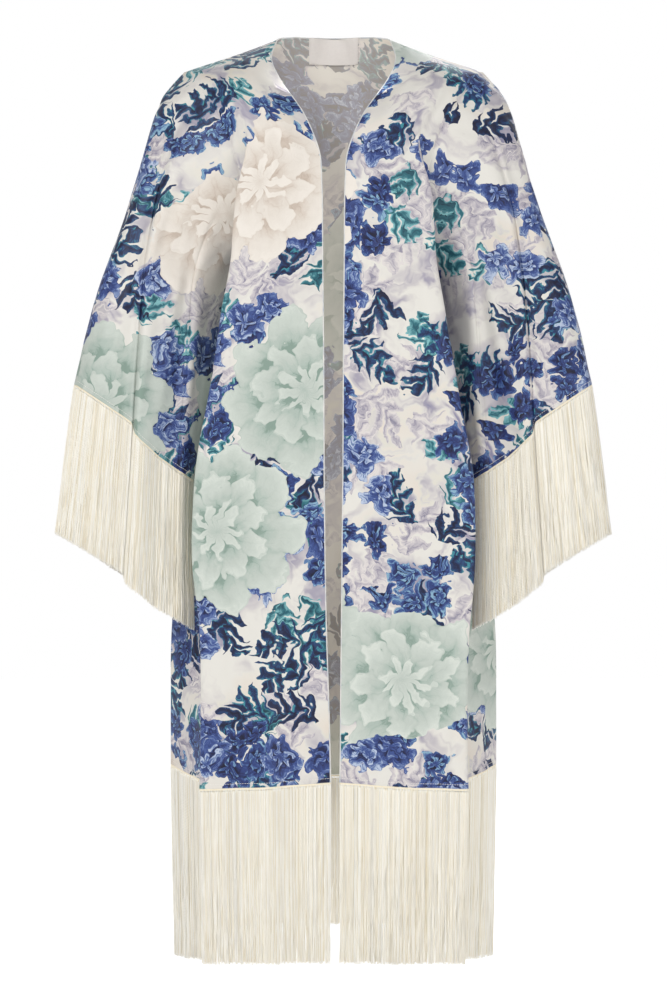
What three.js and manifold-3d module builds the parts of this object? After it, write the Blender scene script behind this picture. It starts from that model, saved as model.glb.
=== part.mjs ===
// Open kimono-style robe with fringed hem and cuffs, worn by nobody: the cloth keeps its filled-out form.
// Millimetres, +Z up, the robe faces -Y, the wearer's right is at -X.
// The origin is midway between the two neck points, at their height, where the shoulders hold the robe.

import * as THREE from 'three';
import Module from 'manifold-3d';
import { mergeVertices } from 'three/addons/utils/BufferGeometryUtils.js';

// Cloth and seams
const CLOTH = 1.6;
const SEAM_GAP = 0.3;
const LABEL_CLOTH = 1.0;
const LABEL_WIDTH = 70;
const LABEL_HEIGHT = 36;
const LABEL_TOP_MARGIN = 1.5;
const LABEL_STANDS_OFF = 1.6;

// Fringe
const STRIP_HEIGHT = 8;
const STRIP_THICKNESS = 2.2;
const STRAND_RADIUS = 1.7;
const STRAND_ROOT_RADIUS = 0.8;
const STRAND_ROOT_DEPTH = 2;
const STRAND_KNEE = 0.25;
const STRAND_SIDES = 3;
const STRAND_SWAY = 1.5;
const STRAND_TURN = 1.7;
const HEM_FRINGE_DRAW_IN = 0.975;
const HEM_STRANDS = 118;
const CUFF_STRANDS = 46;
const CUFF_FRINGE_LENGTH = 205;
const CUFF_FRINGE_FLARE = 26;
const FRONT_FRINGE_END = -1287;
const SIDE_FRINGE_END = -1297;
const BACK_FRINGE_END = -1268;

// How finely the cloth is divided
const ROWS_BELOW_ARM = 12;
const ROWS_ABOVE_ARM = 12;
const COLUMNS_PER_FRONT_SPAN = 2;
const COLUMNS_OF_HALF_NECK = 4;
const SLEEVE_RINGS = 14;

// Stations count the rows of the two body tables: the hem, the underarm and the shoulder seam
const HEM = 0;
const UNDERARM = 7;
const SHOULDER = 14;

// A table has one row for each section and one named column for each measure
function table(names, rows) {
  const columns = names.split(' ');
  return rows.map((row) => Object.fromEntries(columns.map((name, k) => [name, row[k]])));
}

// Front of the body, half of it, x counted outwards from the middle of the robe.
// edge: free front edge or neckline, mid: middle of the panel, ridge and valley: the long fold that hangs
// from the chest, flank: behind that fold, side: side seam, and above the underarm the armhole.
const frontRows = table(
  'edgeX edgeY edgeZ midX midY ridgeX ridgeY valleyX valleyY flankX flankY sideX sideY sideZ dip', [
    [6.5, -118, -1039, 95, -128, 181, -124, 166, -84, 200, -28, 232, 28, -1026, 14],
    [8, -118, -945, 95, -128, 180, -124, 164, -83, 195, -26, 232, 30, -940, 3],
    [10, -118, -840, 95, -128, 182, -123, 163, -81, 186, -22, 231, 33, -840, 0],
    [11.5, -118, -735, 96, -127, 193, -121, 165, -79, 180, -18, 222, 36, -735, 0],
    [12.7, -118, -620, 96, -126, 190, -119, 158, -77, 167, -15, 203, 38, -620, 0],
    [13.3, -118, -505, 93, -125, 170, -117, 138, -75, 146, -12, 176, 36, -505, 0],
    [14, -118, -405, 88, -124, 155, -114, 124, -74, 130, -14, 153, 30, -405, 0],
    [14.6, -118, -331, 80, -124, 141, -111, 116, -76, 118, -32, 141, 14, -331, 0],
    [15, -118, -272, 75, -122, 137, -109, 117, -84, 117, -66, 129, -44, -285, 0],
    [16, -117, -215, 72, -120, 132, -107, 118, -92, 117, -82, 126, -70, -235, 0],
    [20, -112, -172, 68, -116, 119, -106, 118, -99, 124, -91, 135, -80, -180, 0],
    [40, -96, -122, 77, -106, 110, -103, 128, -97, 141, -88, 157, -75, -125, 0],
    [74, -57, -68, 98, -73, 121, -79, 144, -77, 166, -67, 186, -50, -79, 2],
    [87, -22, -33, 109, -38, 130, -44, 153, -44, 176, -37, 201, -26, -58, 1],
    [80, 14, 0, 105, 11, 131, 8, 158, 5, 185, 2, 211, 0, -48, 1],
  ]);

// Back of the body, half of it. nape lies below the neck point and blade over the shoulder blade.
// The side is given from the underarm up, where it is the back of the armhole.
const backRows = table(
  'centreY centreZ napeX napeY bladeX bladeY sideX sideY sideZ', [
    [130, -1051, 104, 127, 207, 95],
    [130, -950, 104, 127, 207, 95],
    [129, -840, 103, 126, 207, 94],
    [128, -735, 102, 125, 203, 92],
    [127, -620, 98, 123, 189, 89],
    [125, -505, 94, 121, 170, 86],
    [123, -405, 90, 118, 152, 81],
    [122, -331, 87, 116, 143, 70, 141, 14, -331],
    [121, -272, 85, 114, 140, 76, 144, 40, -285],
    [119, -215, 83, 111, 140, 77, 151, 54, -235],
    [114, -160, 82, 105, 142, 73, 160, 59, -182],
    [104, -108, 81, 93, 144, 64, 172, 55, -134],
    [88, -62, 81, 72, 146, 48, 187, 42, -95],
    [74, -24, 81, 45, 147, 28, 201, 24, -64],
    [63, 8, 80, 14, 145, 6, 211, 0, -48],
  ]);

// Sleeve, from the armhole (row 1) to the cuff (row 8). top: its upper outline, low: its lower outline,
// hidden behind the body's fold, depth: half of its thickness from front to back, outer and inner: where the two
// long folds run, from 0 at the lower outline to 1 at the upper one, and how far each stands out.
const sleeveRows = table(
  'topX topY topZ lowX lowY lowZ depth outer outerRise inner innerRise', [
    [211, 0, -48, 141, 14, -331, 76, 0.72, 0, 0.36, 0],
    [236, -2, -76, 143, 12, -345, 72, 0.76, 2, 0.36, 1],
    [252, -6, -113, 146, 8, -362, 67, 0.79, 4, 0.36, 2],
    [273, -13, -189, 153, -2, -400, 60, 0.78, 6, 0.34, 5],
    [298, -23, -268, 161, -15, -450, 54, 0.72, 7, 0.28, 7],
    [325, -33, -346, 171, -30, -510, 49, 0.63, 8, 0.22, 8],
    [344, -42, -420, 183, -44, -570, 45, 0.56, 9, 0.17, 8],
    [360, -50, -491, 193, -55, -624, 41, 0.5, 9, 0.13, 6],
  ]);

// Soft vertical folds of the back, from its middle (0) to its side seams (-3 and 3).
const backFolds = table('at width depth top', [
  [-2.35, 0.28, 13, 6.0],
  [-1.45, 0.3, 10, 7.5],
  [-0.5, 0.34, 8, 8.5],
  [0.42, 0.3, 10, 8.0],
  [1.3, 0.34, 12, 7.0],
  [2.3, 0.28, 10, 6.5],
]);

// Soft folds of each front, from the front edge (0) to the side seam (5).
const frontFolds = table('at width depth top', [
  [0.55, 0.3, 4, 9],
  [1.45, 0.32, 6, 8],
]);

// The opening stands a little to the wearer's left near the hem
const OPENING_SHIFT = 2.4;
const OPENING_SHIFT_STATIONS = 3;

// Spans between the named measures, across a front and across each half of the back
const FRONT_SPANS = 5;
const BACK_SPANS = 3;
const FOLD_FREE_SEAM = 0.4;

// Heights of the nape and the shoulder blade, as shares of the way down from the middle of the back to its
// side, and how far the cloth rises again to the neck point
const NAPE_SHARE = 0.3;
const BLADE_SHARE = 0.7;
const NAPE_RISE = 9;
const NAPE_RISE_STATIONS = 2;

// Sleeve: how much fuller its upper part is than its lower one, how wide a fold is as a share of the ring,
// and over how many rows of its table the armhole's own form fades out
const LOWER_FULLNESS = 0.8;
const UPPER_FULLNESS = 1.05;
const SLEEVE_FOLD_WIDTH = 0.08;
const SLEEVE_FOLD_STEP = 0.055;
const ARMHOLE_FADE = 3.5;

const clamp01 = (value) => Math.min(1, Math.max(0, value));
const smooth = (value) => clamp01(value) ** 2 * (3 - 2 * clamp01(value));
const mix = (a, b, share) => a + (b - a) * share;

// Smooth curve through a list of numbers, at a place counted in list steps
function through(values, place) {
  const last = values.length - 1;
  const step = Math.min(Math.max(Math.floor(place), 0), last - 1);
  const t = place - step;
  const p1 = values[step];
  const p2 = values[step + 1];
  const p0 = step > 0 ? values[step - 1] : 2 * p1 - p2;
  const p3 = step + 2 <= last ? values[step + 2] : 2 * p2 - p1;
  const bend = (2 * p0 - 5 * p1 + 4 * p2 - p3) * t * t + (3 * p1 - p0 - 3 * p2 + p3) * t * t * t;
  return p1 + 0.5 * ((p2 - p0) * t + bend);
}

function measure(rows, name, place) {
  return through(rows.map((row) => row[name]), place);
}

function throughPoints(points, place) {
  const axis = (name) => through(points.map((point) => point[name]), place);
  return new THREE.Vector3(axis('x'), axis('y'), axis('z'));
}

function foldDepth(folds, across, station) {
  return folds.reduce((sum, fold) => {
    const reach = smooth((fold.top - station) / fold.top);
    return sum + fold.depth * reach * Math.exp(-(((across - fold.at) / fold.width) ** 2));
  }, 0);
}

// The side of a panel: the side seam up to the underarm, and the panel's own part of the armhole above it
function sidePoint(rows, station) {
  const onSeam = station <= UNDERARM;
  const part = onSeam ? frontRows.slice(HEM, UNDERARM + 1) : rows.slice(UNDERARM);
  const place = onSeam ? station : station - UNDERARM;
  const m = (name) => measure(part, name, place);
  return new THREE.Vector3(m('sideX'), m('sideY'), m('sideZ'));
}

// A point of a front, at a station and from 0 at the free edge to 5 at the side.
// hand is -1 for the wearer's right and 1 for the left.
function frontPoint(station, across, hand) {
  const m = (name) => measure(frontRows, name, station);
  const side = sidePoint(frontRows, station);
  const height = (share) => mix(m('edgeZ'), side.z, share) - m('dip') * Math.sin(Math.PI * share);
  const names = ['mid', 'ridge', 'valley', 'flank'];
  const between = names.map((name, k) => (
    new THREE.Vector3(m(name + 'X'), m(name + 'Y'), height((k + 1) / FRONT_SPANS))));
  const edge = new THREE.Vector3(m('edgeX'), m('edgeY'), m('edgeZ'));
  const point = throughPoints([edge, ...between, side], across);
  point.y += foldDepth(frontFolds, across, station) * smooth((FRONT_SPANS - across) / FOLD_FREE_SEAM);
  point.x *= hand;
  const nearEdge = clamp01(1 - across);
  point.x += OPENING_SHIFT * smooth((OPENING_SHIFT_STATIONS - station) / OPENING_SHIFT_STATIONS) * nearEdge;
  return point;
}

// A point of the back, at a station and from -3 at the wearer's right side to 3 at the left one
function backPoint(station, across) {
  const m = (name) => measure(backRows, name, station);
  const side = sidePoint(backRows, station);
  const centreZ = m('centreZ');
  const neckRise = NAPE_RISE * smooth(1 - (SHOULDER - station) / NAPE_RISE_STATIONS);
  const nape = new THREE.Vector3(m('napeX'), m('napeY'), mix(centreZ, side.z, NAPE_SHARE) + neckRise);
  const blade = new THREE.Vector3(m('bladeX'), m('bladeY'), mix(centreZ, side.z, BLADE_SHARE));
  const half = [side, blade, nape];
  const mirrored = half.map((point) => new THREE.Vector3(-point.x, point.y, point.z));
  const row = [...mirrored, new THREE.Vector3(0, m('centreY'), centreZ), ...half.reverse()];
  const point = throughPoints(row, across + BACK_SPANS);
  const clearOfSeam = smooth((BACK_SPANS - Math.abs(across)) / FOLD_FREE_SEAM);
  point.y -= foldDepth(backFolds, across, station) * clearOfSeam;
  return point;
}

// A cloth is a grid of corners, each with the place of its outer face and the direction out of the cloth
function cloth(rows, closed) {
  const width = rows[0].length;
  const column = (j) => (closed ? (j + width) % width : Math.min(Math.max(j, 0), width - 1));
  const middle = new THREE.Vector3();
  rows.flat().forEach((place) => middle.add(place));
  middle.divideScalar(rows.flat().length);
  let facing = 0;
  const grid = rows.map((row, i) => row.map((place, j) => {
    const up = rows[Math.min(i + 1, rows.length - 1)][j].clone().sub(rows[Math.max(i - 1, 0)][j]);
    const along = row[column(j + 1)].clone().sub(row[column(j - 1)]);
    const out = along.cross(up).normalize();
    facing += out.dot(place.clone().sub(middle));
    return { place: place.clone(), out };
  }));
  const corners = grid.flat();
  if (facing < 0) corners.forEach((corner) => corner.out.negate());
  return grid;
}

// Corners of different pieces that share a place get one common direction, so that their walls end alike
function shareDirections(grids) {
  const groups = new Map();
  grids.flat(2).forEach((corner) => {
    const key = corner.place.toArray().map((value) => value.toFixed(3)).join(' ');
    groups.set(key, [...(groups.get(key) ?? []), corner]);
  });
  groups.forEach((corners) => {
    const sum = corners.reduce((total, corner) => total.add(corner.out), new THREE.Vector3()).normalize();
    corners.forEach((corner) => corner.out.copy(sum));
  });
}

// Draws an edge back from its seam by half of the seam's gap, towards the next corners of its own piece
function drawBack(edge, inner) {
  const places = edge.map((corner) => corner.place.clone());
  edge.forEach((corner, k) => {
    const along = places[Math.min(k + 1, places.length - 1)].clone().sub(places[Math.max(k - 1, 0)]);
    const across = along.cross(corner.out).normalize();
    const inwards = Math.sign(across.dot(inner[k].place.clone().sub(places[k])));
    corner.place.addScaledVector(across, inwards * SEAM_GAP / 2);
  });
}

// The closed wall of a cloth: its outer face, its inner face and its rims
function wall(grid, thickness, closed) {
  const height = grid.length;
  const width = grid[0].length;
  const layer = height * width;
  const outer = grid.flat().map((corner) => corner.place);
  const inner = grid.flat().map((corner) => corner.place.clone().addScaledVector(corner.out, -thickness));
  const faces = [];
  const quad = (a, b, c, d) => faces.push(a, b, c, a, c, d);
  const at = (i, j) => i * width + (j % width);
  const spans = closed ? width : width - 1;
  for (let i = 0; i < height - 1; i += 1) {
    for (let j = 0; j < spans; j += 1) {
      quad(at(i, j), at(i, j + 1), at(i + 1, j + 1), at(i + 1, j));
      quad(at(i, j) + layer, at(i + 1, j) + layer, at(i + 1, j + 1) + layer, at(i, j + 1) + layer);
    }
  }
  for (let j = 0; j < spans; j += 1) {
    quad(at(0, j) + layer, at(0, j + 1) + layer, at(0, j + 1), at(0, j));
    quad(at(height - 1, j), at(height - 1, j + 1), at(height - 1, j + 1) + layer, at(height - 1, j) + layer);
  }
  if (!closed) {
    for (let i = 0; i < height - 1; i += 1) {
      quad(at(i + 1, 0) + layer, at(i, 0) + layer, at(i, 0), at(i + 1, 0));
      quad(at(i + 1, width - 1), at(i, width - 1), at(i, width - 1) + layer, at(i + 1, width - 1) + layer);
    }
  }
  return solid([...outer, ...inner], faces);
}

// A closed solid from corners and triangles, turned so that its faces point out
function solid(places, faces) {
  const corner = (k) => places[faces[k]];
  let volume = 0;
  for (let k = 0; k < faces.length; k += 3) {
    volume += corner(k).dot(new THREE.Vector3().crossVectors(corner(k + 1), corner(k + 2)));
  }
  const turned = [];
  for (let k = 0; k < faces.length; k += 3) {
    turned.push(faces[k], volume < 0 ? faces[k + 2] : faces[k + 1], volume < 0 ? faces[k + 1] : faces[k + 2]);
  }
  const geometry = new THREE.BufferGeometry();
  const flat = Float32Array.from(places.flatMap((place) => place.toArray()));
  geometry.setAttribute('position', new THREE.BufferAttribute(flat, 3));
  geometry.setIndex(turned);
  return geometry;
}

// Stations of the rows of corners, from the hem to the shoulder seam
const belowArm = Array.from({ length: ROWS_BELOW_ARM }, (_, i) => mix(HEM, UNDERARM, i / ROWS_BELOW_ARM));
const aboveArm = Array.from({ length: ROWS_ABOVE_ARM + 1 }, (_, i) => (
  mix(UNDERARM, SHOULDER, i / ROWS_ABOVE_ARM)));
const stations = [...belowArm, ...aboveArm];
const frontColumns = FRONT_SPANS * COLUMNS_PER_FRONT_SPAN;
const halfBackColumns = COLUMNS_OF_HALF_NECK + frontColumns;

// Where a column of the back lies, from -3 to 3: the neck's columns reach the nape, the others the side
function backAcross(column) {
  const count = Math.abs(column);
  const onNeck = Math.min(count, COLUMNS_OF_HALF_NECK) / COLUMNS_OF_HALF_NECK;
  const onShoulder = (BACK_SPANS - 1) * Math.max(count - COLUMNS_OF_HALF_NECK, 0) / frontColumns;
  return Math.sign(column) * (onNeck + onShoulder);
}

function makeFront(hand) {
  const rows = stations.map((station) => {
    const row = [];
    for (let j = 0; j <= frontColumns; j += 1) {
      row.push(frontPoint(station, j / COLUMNS_PER_FRONT_SPAN, hand));
    }
    return row;
  });
  return cloth(rows, false);
}

function makeBack(fronts) {
  const rows = stations.map((station) => {
    const row = [];
    for (let j = -halfBackColumns; j <= halfBackColumns; j += 1) {
      row.push(backPoint(station, backAcross(j)));
    }
    return row;
  });
  const shoulder = rows[rows.length - 1];
  fronts.forEach((front, k) => {
    const hand = k === 0 ? -1 : 1;
    front[front.length - 1].forEach((corner, j) => {
      shoulder[halfBackColumns + hand * (COLUMNS_OF_HALF_NECK + j)].copy(corner.place);
    });
  });
  return cloth(rows, false);
}

// The armhole's corners: from the underarm up the front to the shoulder, and down the back
function armhole(front, back, hand) {
  const side = hand < 0 ? 0 : 2 * halfBackColumns;
  const up = front.slice(ROWS_BELOW_ARM).map((row) => row[frontColumns]);
  const down = back.slice(ROWS_BELOW_ARM).map((row) => row[side]).reverse();
  return { up, down, loop: [...up, ...down.slice(1, -1)] };
}

// How far round the sleeve a corner lies, from 0 at the lower outline to 1 at the upper one
function sleeveShare(section, k) {
  const shares = [0, section.inner, section.outer, 1];
  return through(shares, (shares.length - 1) * k / ROWS_ABOVE_ARM);
}

// A ring of the sleeve at a place counted in rows of its table
function sleeveRing(place, hand) {
  const names = Object.keys(sleeveRows[0]);
  const section = Object.fromEntries(names.map((name) => [name, measure(sleeveRows, name, place)]));
  const top = new THREE.Vector3(hand * section.topX, section.topY, section.topZ);
  const low = new THREE.Vector3(hand * section.lowX, section.lowY, section.lowZ);
  const half = ROWS_ABOVE_ARM;
  const ring = [];
  for (let k = 0; k < 2 * half; k += 1) {
    const onFront = k <= half;
    const share = sleeveShare(section, onFront ? k : 2 * half - k);
    const round = Math.sqrt(Math.max(4 * share * (1 - share), 0));
    const fullness = mix(LOWER_FULLNESS, UPPER_FULLNESS, share);
    const swell = (middle) => Math.exp(-(((share - middle) / SLEEVE_FOLD_WIDTH) ** 2));
    const foldAt = (middle, rise) => (
      rise * (swell(middle - SLEEVE_FOLD_STEP) - swell(middle + SLEEVE_FOLD_STEP)));
    const folds = foldAt(section.outer, section.outerRise) + foldAt(section.inner, section.innerRise);
    const point = low.clone().lerp(top, share);
    point.y += (onFront ? -1 : 1) * (section.depth * round * fullness + folds * round);
    ring.push(point);
  }
  return ring;
}

function makeSleeve(loop, hand) {
  const first = sleeveRing(0, hand);
  const rings = [];
  for (let i = 0; i <= SLEEVE_RINGS; i += 1) {
    const place = (sleeveRows.length - 1) * i / SLEEVE_RINGS;
    const stillArmhole = 1 - smooth(place / ARMHOLE_FADE);
    rings.push(sleeveRing(place, hand).map((point, k) => (
      point.add(loop[k].place.clone().sub(first[k]).multiplyScalar(stillArmhole)))));
  }
  return cloth(rings, true);
}

const wasm = await Module();
wasm.setup();

function toManifold(geometry) {
  const bare = geometry.clone();
  bare.deleteAttribute('normal');
  bare.deleteAttribute('uv');
  const merged = mergeVertices(bare, 1e-4);
  const vertProperties = Float32Array.from(merged.attributes.position.array);
  const triVerts = Uint32Array.from(merged.index.array);
  return new wasm.Manifold(new wasm.Mesh({ numProp: 3, vertProperties, triVerts }));
}

function fromManifold(manifold) {
  const mesh = manifold.getMesh();
  const geometry = new THREE.BufferGeometry();
  geometry.setAttribute('position', new THREE.BufferAttribute(Float32Array.from(mesh.vertProperties), 3));
  geometry.setIndex(Array.from(mesh.triVerts));
  return geometry;
}

// One strand, a thin prism from its narrow root down along a list of places
function strand(places, turn) {
  const corners = [];
  places.forEach((place, i) => {
    const radius = i === 0 ? STRAND_ROOT_RADIUS : STRAND_RADIUS;
    for (let k = 0; k < STRAND_SIDES; k += 1) {
      const angle = turn + 2 * Math.PI * k / STRAND_SIDES;
      const spoke = new THREE.Vector3(radius * Math.cos(angle), radius * Math.sin(angle), 0);
      corners.push(place.clone().add(spoke));
    }
  });
  const faces = [];
  for (let i = 0; i < places.length - 1; i += 1) {
    for (let k = 0; k < STRAND_SIDES; k += 1) {
      const a = i * STRAND_SIDES + k;
      const b = i * STRAND_SIDES + (k + 1) % STRAND_SIDES;
      faces.push(a, b, b + STRAND_SIDES, a, b + STRAND_SIDES, a + STRAND_SIDES);
    }
  }
  const last = (places.length - 1) * STRAND_SIDES;
  for (let k = 1; k < STRAND_SIDES - 1; k += 1) {
    faces.push(0, k + 1, k, last, last + k, last + k + 1);
  }
  return solid(corners, faces);
}

// A fringe: a narrow strip just off the cloth's edge, with strands that hang from it.
// edge holds the cloth's last corners, downs the way in which the cloth would run on, endOf a strand's end.
function fringe(edge, downs, closed, count, endOf) {
  const strip = [0, 1].map((row) => edge.map((corner, k) => ({
    place: corner.place.clone()
      .addScaledVector(downs[k], SEAM_GAP + row * STRIP_HEIGHT)
      .addScaledVector(corner.out, (STRIP_THICKNESS - CLOTH) / 2),
    out: corner.out.clone(),
  })));
  const middle = strip[1].map((corner, k) => corner.place.clone()
    .addScaledVector(corner.out, -STRIP_THICKNESS / 2)
    .addScaledVector(downs[k], -STRAND_ROOT_DEPTH));
  const spans = closed ? middle.length : middle.length - 1;
  const lengths = [0];
  for (let k = 0; k < spans; k += 1) {
    lengths.push(lengths[k] + middle[k].distanceTo(middle[(k + 1) % middle.length]));
  }
  const whole = lengths[spans];
  let joined = toManifold(wall(strip, STRIP_THICKNESS, closed));
  for (let n = 0; n < count; n += 1) {
    const distance = whole * (n + 0.5) / count;
    const span = Math.min(lengths.findIndex((length) => length > distance), spans) - 1;
    const share = (distance - lengths[span]) / (lengths[span + 1] - lengths[span]);
    const next = (span + 1) % middle.length;
    const root = middle[span].clone().lerp(middle[next], share);
    const down = downs[span].clone().lerp(downs[next], share);
    const end = endOf(root, n);
    const knee = root.clone().lerp(end, STRAND_KNEE).addScaledVector(down, STRIP_HEIGHT);
    joined = joined.add(toManifold(strand([root, knee, end], n * STRAND_TURN)));
  }
  return fromManifold(joined);
}

// Puts the pieces together
const right = makeFront(-1);
const left = makeFront(1);
const back = makeBack([right, left]);
const armholes = [armhole(right, back, -1), armhole(left, back, 1)];
const sleeves = [makeSleeve(armholes[0].loop, -1), makeSleeve(armholes[1].loop, 1)];
shareDirections([right, left, back, ...sleeves]);
const hemEdge = [
  ...right[0],
  ...back[0].slice(1, -1),
  ...[...left[0]].reverse(),
].map((corner) => ({ place: corner.place.clone(), out: corner.out.clone() }));

[right, left].forEach((front, k) => {
  const hand = k === 0 ? -1 : 1;
  const side = k === 0 ? 0 : 2 * halfBackColumns;
  const towardsMiddle = -hand;
  const backLine = (column, rows) => back.slice(0, rows).map((row) => row[column]);
  const frontLine = (column, rows) => front.slice(0, rows).map((row) => row[column]);
  const seamRows = ROWS_BELOW_ARM + 1;
  drawBack(frontLine(frontColumns, seamRows), frontLine(frontColumns - 1, seamRows));
  drawBack(backLine(side, seamRows), backLine(side + towardsMiddle, seamRows));
  const top = front.length - 1;
  drawBack(front[top], front[top - 1]);
  const neckColumn = halfBackColumns + hand * COLUMNS_OF_HALF_NECK;
  const shoulderOf = (row) => Array.from({ length: frontColumns + 1 }, (_, j) => row[neckColumn + hand * j]);
  drawBack(shoulderOf(back[top]), shoulderOf(back[top - 1]));
  const sleeve = sleeves[k];
  const upInner = front.slice(ROWS_BELOW_ARM).map((row) => row[frontColumns - 1]);
  drawBack(armholes[k].up, upInner);
  const downInner = back.slice(ROWS_BELOW_ARM).map((row) => row[side + towardsMiddle]).reverse();
  drawBack(armholes[k].down, downInner);
  drawBack(sleeve[0], sleeve[1]);
});

// A place on a cloth between its corners, and the direction out of it there
function onCloth(grid, row, column) {
  const i = Math.min(Math.floor(row), grid.length - 2);
  const j = Math.floor(column);
  const blend = (name) => {
    const below = grid[i][j][name].clone().lerp(grid[i][j + 1][name], column - j);
    const above = grid[i + 1][j][name].clone().lerp(grid[i + 1][j + 1][name], column - j);
    return below.lerp(above, row - i);
  };
  return { place: blend('place'), out: blend('out').normalize() };
}

// The label lies on the inside of the back, just under its neck edge
function makeLabel() {
  const neckStep = frontRows[frontRows.length - 1].edgeX / COLUMNS_OF_HALF_NECK;
  const end = LABEL_WIDTH / 2 / neckStep;
  const top = back.length - 1;
  const rowHeight = back[top][halfBackColumns].place.distanceTo(back[top - 1][halfBackColumns].place);
  const rows = [0, 1, 2].map((row) => top - (LABEL_TOP_MARGIN + LABEL_HEIGHT * row / 2) / rowHeight);
  return rows.map((row) => [-end, -1, 0, 1, end].map((column) => {
    const { place, out } = onCloth(back, row, halfBackColumns + column);
    place.addScaledVector(out, -(CLOTH + LABEL_STANDS_OFF + LABEL_CLOTH));
    return { place, out: out.negate() };
  }));
}

function fabric(name, color, roughness) {
  return new THREE.MeshStandardMaterial({ name, color, roughness, metalness: 0 });
}

const satin = fabric('printed satin', 0xdfe3de, 0.5);
const yarn = fabric('fringe yarn', 0xefebdd, 0.6);
const tape = fabric('woven label', 0xf2f0ec, 0.8);

const robe = new THREE.Group();
robe.name = 'fringed_robe';

function addPiece(name, geometry, material) {
  geometry.computeVertexNormals();
  const piece = new THREE.Mesh(geometry, material);
  piece.name = name;
  robe.add(piece);
}

addPiece('front_right', wall(right, CLOTH, false), satin);
addPiece('front_left', wall(left, CLOTH, false), satin);
addPiece('back', wall(back, CLOTH, false), satin);
addPiece('sleeve_right', wall(sleeves[0], CLOTH, true), satin);
addPiece('sleeve_left', wall(sleeves[1], CLOTH, true), satin);
addPiece('label', wall(makeLabel(), LABEL_CLOTH, false), tape);

// How far the end of strand number n strays from its place, never the same way as its neighbours
function sway(n) {
  const way = new THREE.Vector3(Math.sin(2.3 * n), Math.cos(1.9 * n), 3 * Math.sin(1.3 * n));
  return way.multiplyScalar(STRAND_SWAY);
}

// Hem fringe: one tape from one front edge round the back to the other; its ends follow the robe's shape
const straightDown = new THREE.Vector3(0, 0, -1);
const hemDowns = hemEdge.map(() => straightDown);
function hemEnd(root, n) {
  const [front, side] = [frontRows[HEM].edgeY, frontRows[HEM].sideY];
  const towardsBack = smooth((root.y - front) / (side - front));
  const behind = smooth((root.y - side) / (backRows[HEM].centreY - side));
  const level = mix(mix(FRONT_FRINGE_END, SIDE_FRINGE_END, towardsBack), BACK_FRINGE_END, behind);
  return new THREE.Vector3(root.x * HEM_FRINGE_DRAW_IN, root.y * HEM_FRINGE_DRAW_IN, level).add(sway(n));
}
addPiece('hem_fringe', fringe(hemEdge, hemDowns, false, HEM_STRANDS, hemEnd), yarn);

['right', 'left'].forEach((name, k) => {
  const hand = k === 0 ? -1 : 1;
  const rings = sleeves[k];
  const cuff = rings[SLEEVE_RINGS];
  const before = rings[SLEEVE_RINGS - 1];
  const downs = cuff.map((corner, j) => corner.place.clone().sub(before[j].place).normalize());
  const cuffRow = sleeveRows[sleeveRows.length - 1];
  const cuffEnd = (root, n) => {
    const outwards = clamp01((hand * root.x - cuffRow.lowX) / (cuffRow.topX - cuffRow.lowX));
    const flare = hand * CUFF_FRINGE_FLARE * outwards;
    return new THREE.Vector3(root.x + flare, root.y, root.z - CUFF_FRINGE_LENGTH).add(sway(n));
  };
  addPiece('cuff_fringe_' + name, fringe(cuff, downs, true, CUFF_STRANDS, cuffEnd), yarn);
});

export default robe;
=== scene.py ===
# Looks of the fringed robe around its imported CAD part.
# Metres, +Z up, the robe faces -Y, the wearer's right is at -X.
import math

import bpy
import numpy as np
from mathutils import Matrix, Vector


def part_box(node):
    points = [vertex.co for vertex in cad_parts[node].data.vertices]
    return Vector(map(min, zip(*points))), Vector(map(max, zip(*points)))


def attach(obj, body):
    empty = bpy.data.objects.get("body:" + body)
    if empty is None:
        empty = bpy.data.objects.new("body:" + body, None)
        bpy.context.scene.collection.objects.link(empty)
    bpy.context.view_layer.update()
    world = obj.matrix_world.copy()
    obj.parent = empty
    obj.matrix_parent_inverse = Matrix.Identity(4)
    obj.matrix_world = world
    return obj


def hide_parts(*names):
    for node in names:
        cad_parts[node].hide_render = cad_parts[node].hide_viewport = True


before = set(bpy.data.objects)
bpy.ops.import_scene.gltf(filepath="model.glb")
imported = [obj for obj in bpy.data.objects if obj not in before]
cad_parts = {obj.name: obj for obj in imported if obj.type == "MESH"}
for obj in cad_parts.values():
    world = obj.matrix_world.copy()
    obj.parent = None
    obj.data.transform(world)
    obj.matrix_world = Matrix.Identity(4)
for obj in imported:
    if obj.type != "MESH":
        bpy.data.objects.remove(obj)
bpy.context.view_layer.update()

# Camera
# It stands level with the middle of the robe, 4 m before its front edges. Its view is 1.37 m high there,
# which puts the photograph's pixels 1.37 mm apart.
VIEW_DISTANCE = 4.0
VIEW_HEIGHT = 1.370
FRONT_PLANE = -0.118
EYE_LEVEL = -0.652
SENSOR = 36.0

camera = bpy.data.objects.new("camera", bpy.data.cameras.new("camera"))
camera.data.sensor_fit = "VERTICAL"
camera.data.sensor_height = SENSOR
camera.data.lens = SENSOR * VIEW_DISTANCE / VIEW_HEIGHT
camera.location = (0, FRONT_PLANE - VIEW_DISTANCE, EYE_LEVEL)
camera.rotation_euler = (math.pi / 2, 0, 0)
bpy.context.scene.collection.objects.link(camera)
bpy.context.scene.camera = camera

# Printed satin
# The robe's cloth is a light polyester satin with a soft crepe face. Its print is loose and painterly, with
# blossoms, chrysanthemums and leaf sprays on an ivory ground. It is generic, and scattered by rule.
MM = 0.001


def linear(code):
    """The linear colour of an sRGB hex code."""
    channels = [int(code[k : k + 2], 16) / 255 for k in (1, 3, 5)]
    return [c / 12.92 if c <= 0.04045 else ((c + 0.055) / 1.055) ** 2.4 for c in channels] + [1]


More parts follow.
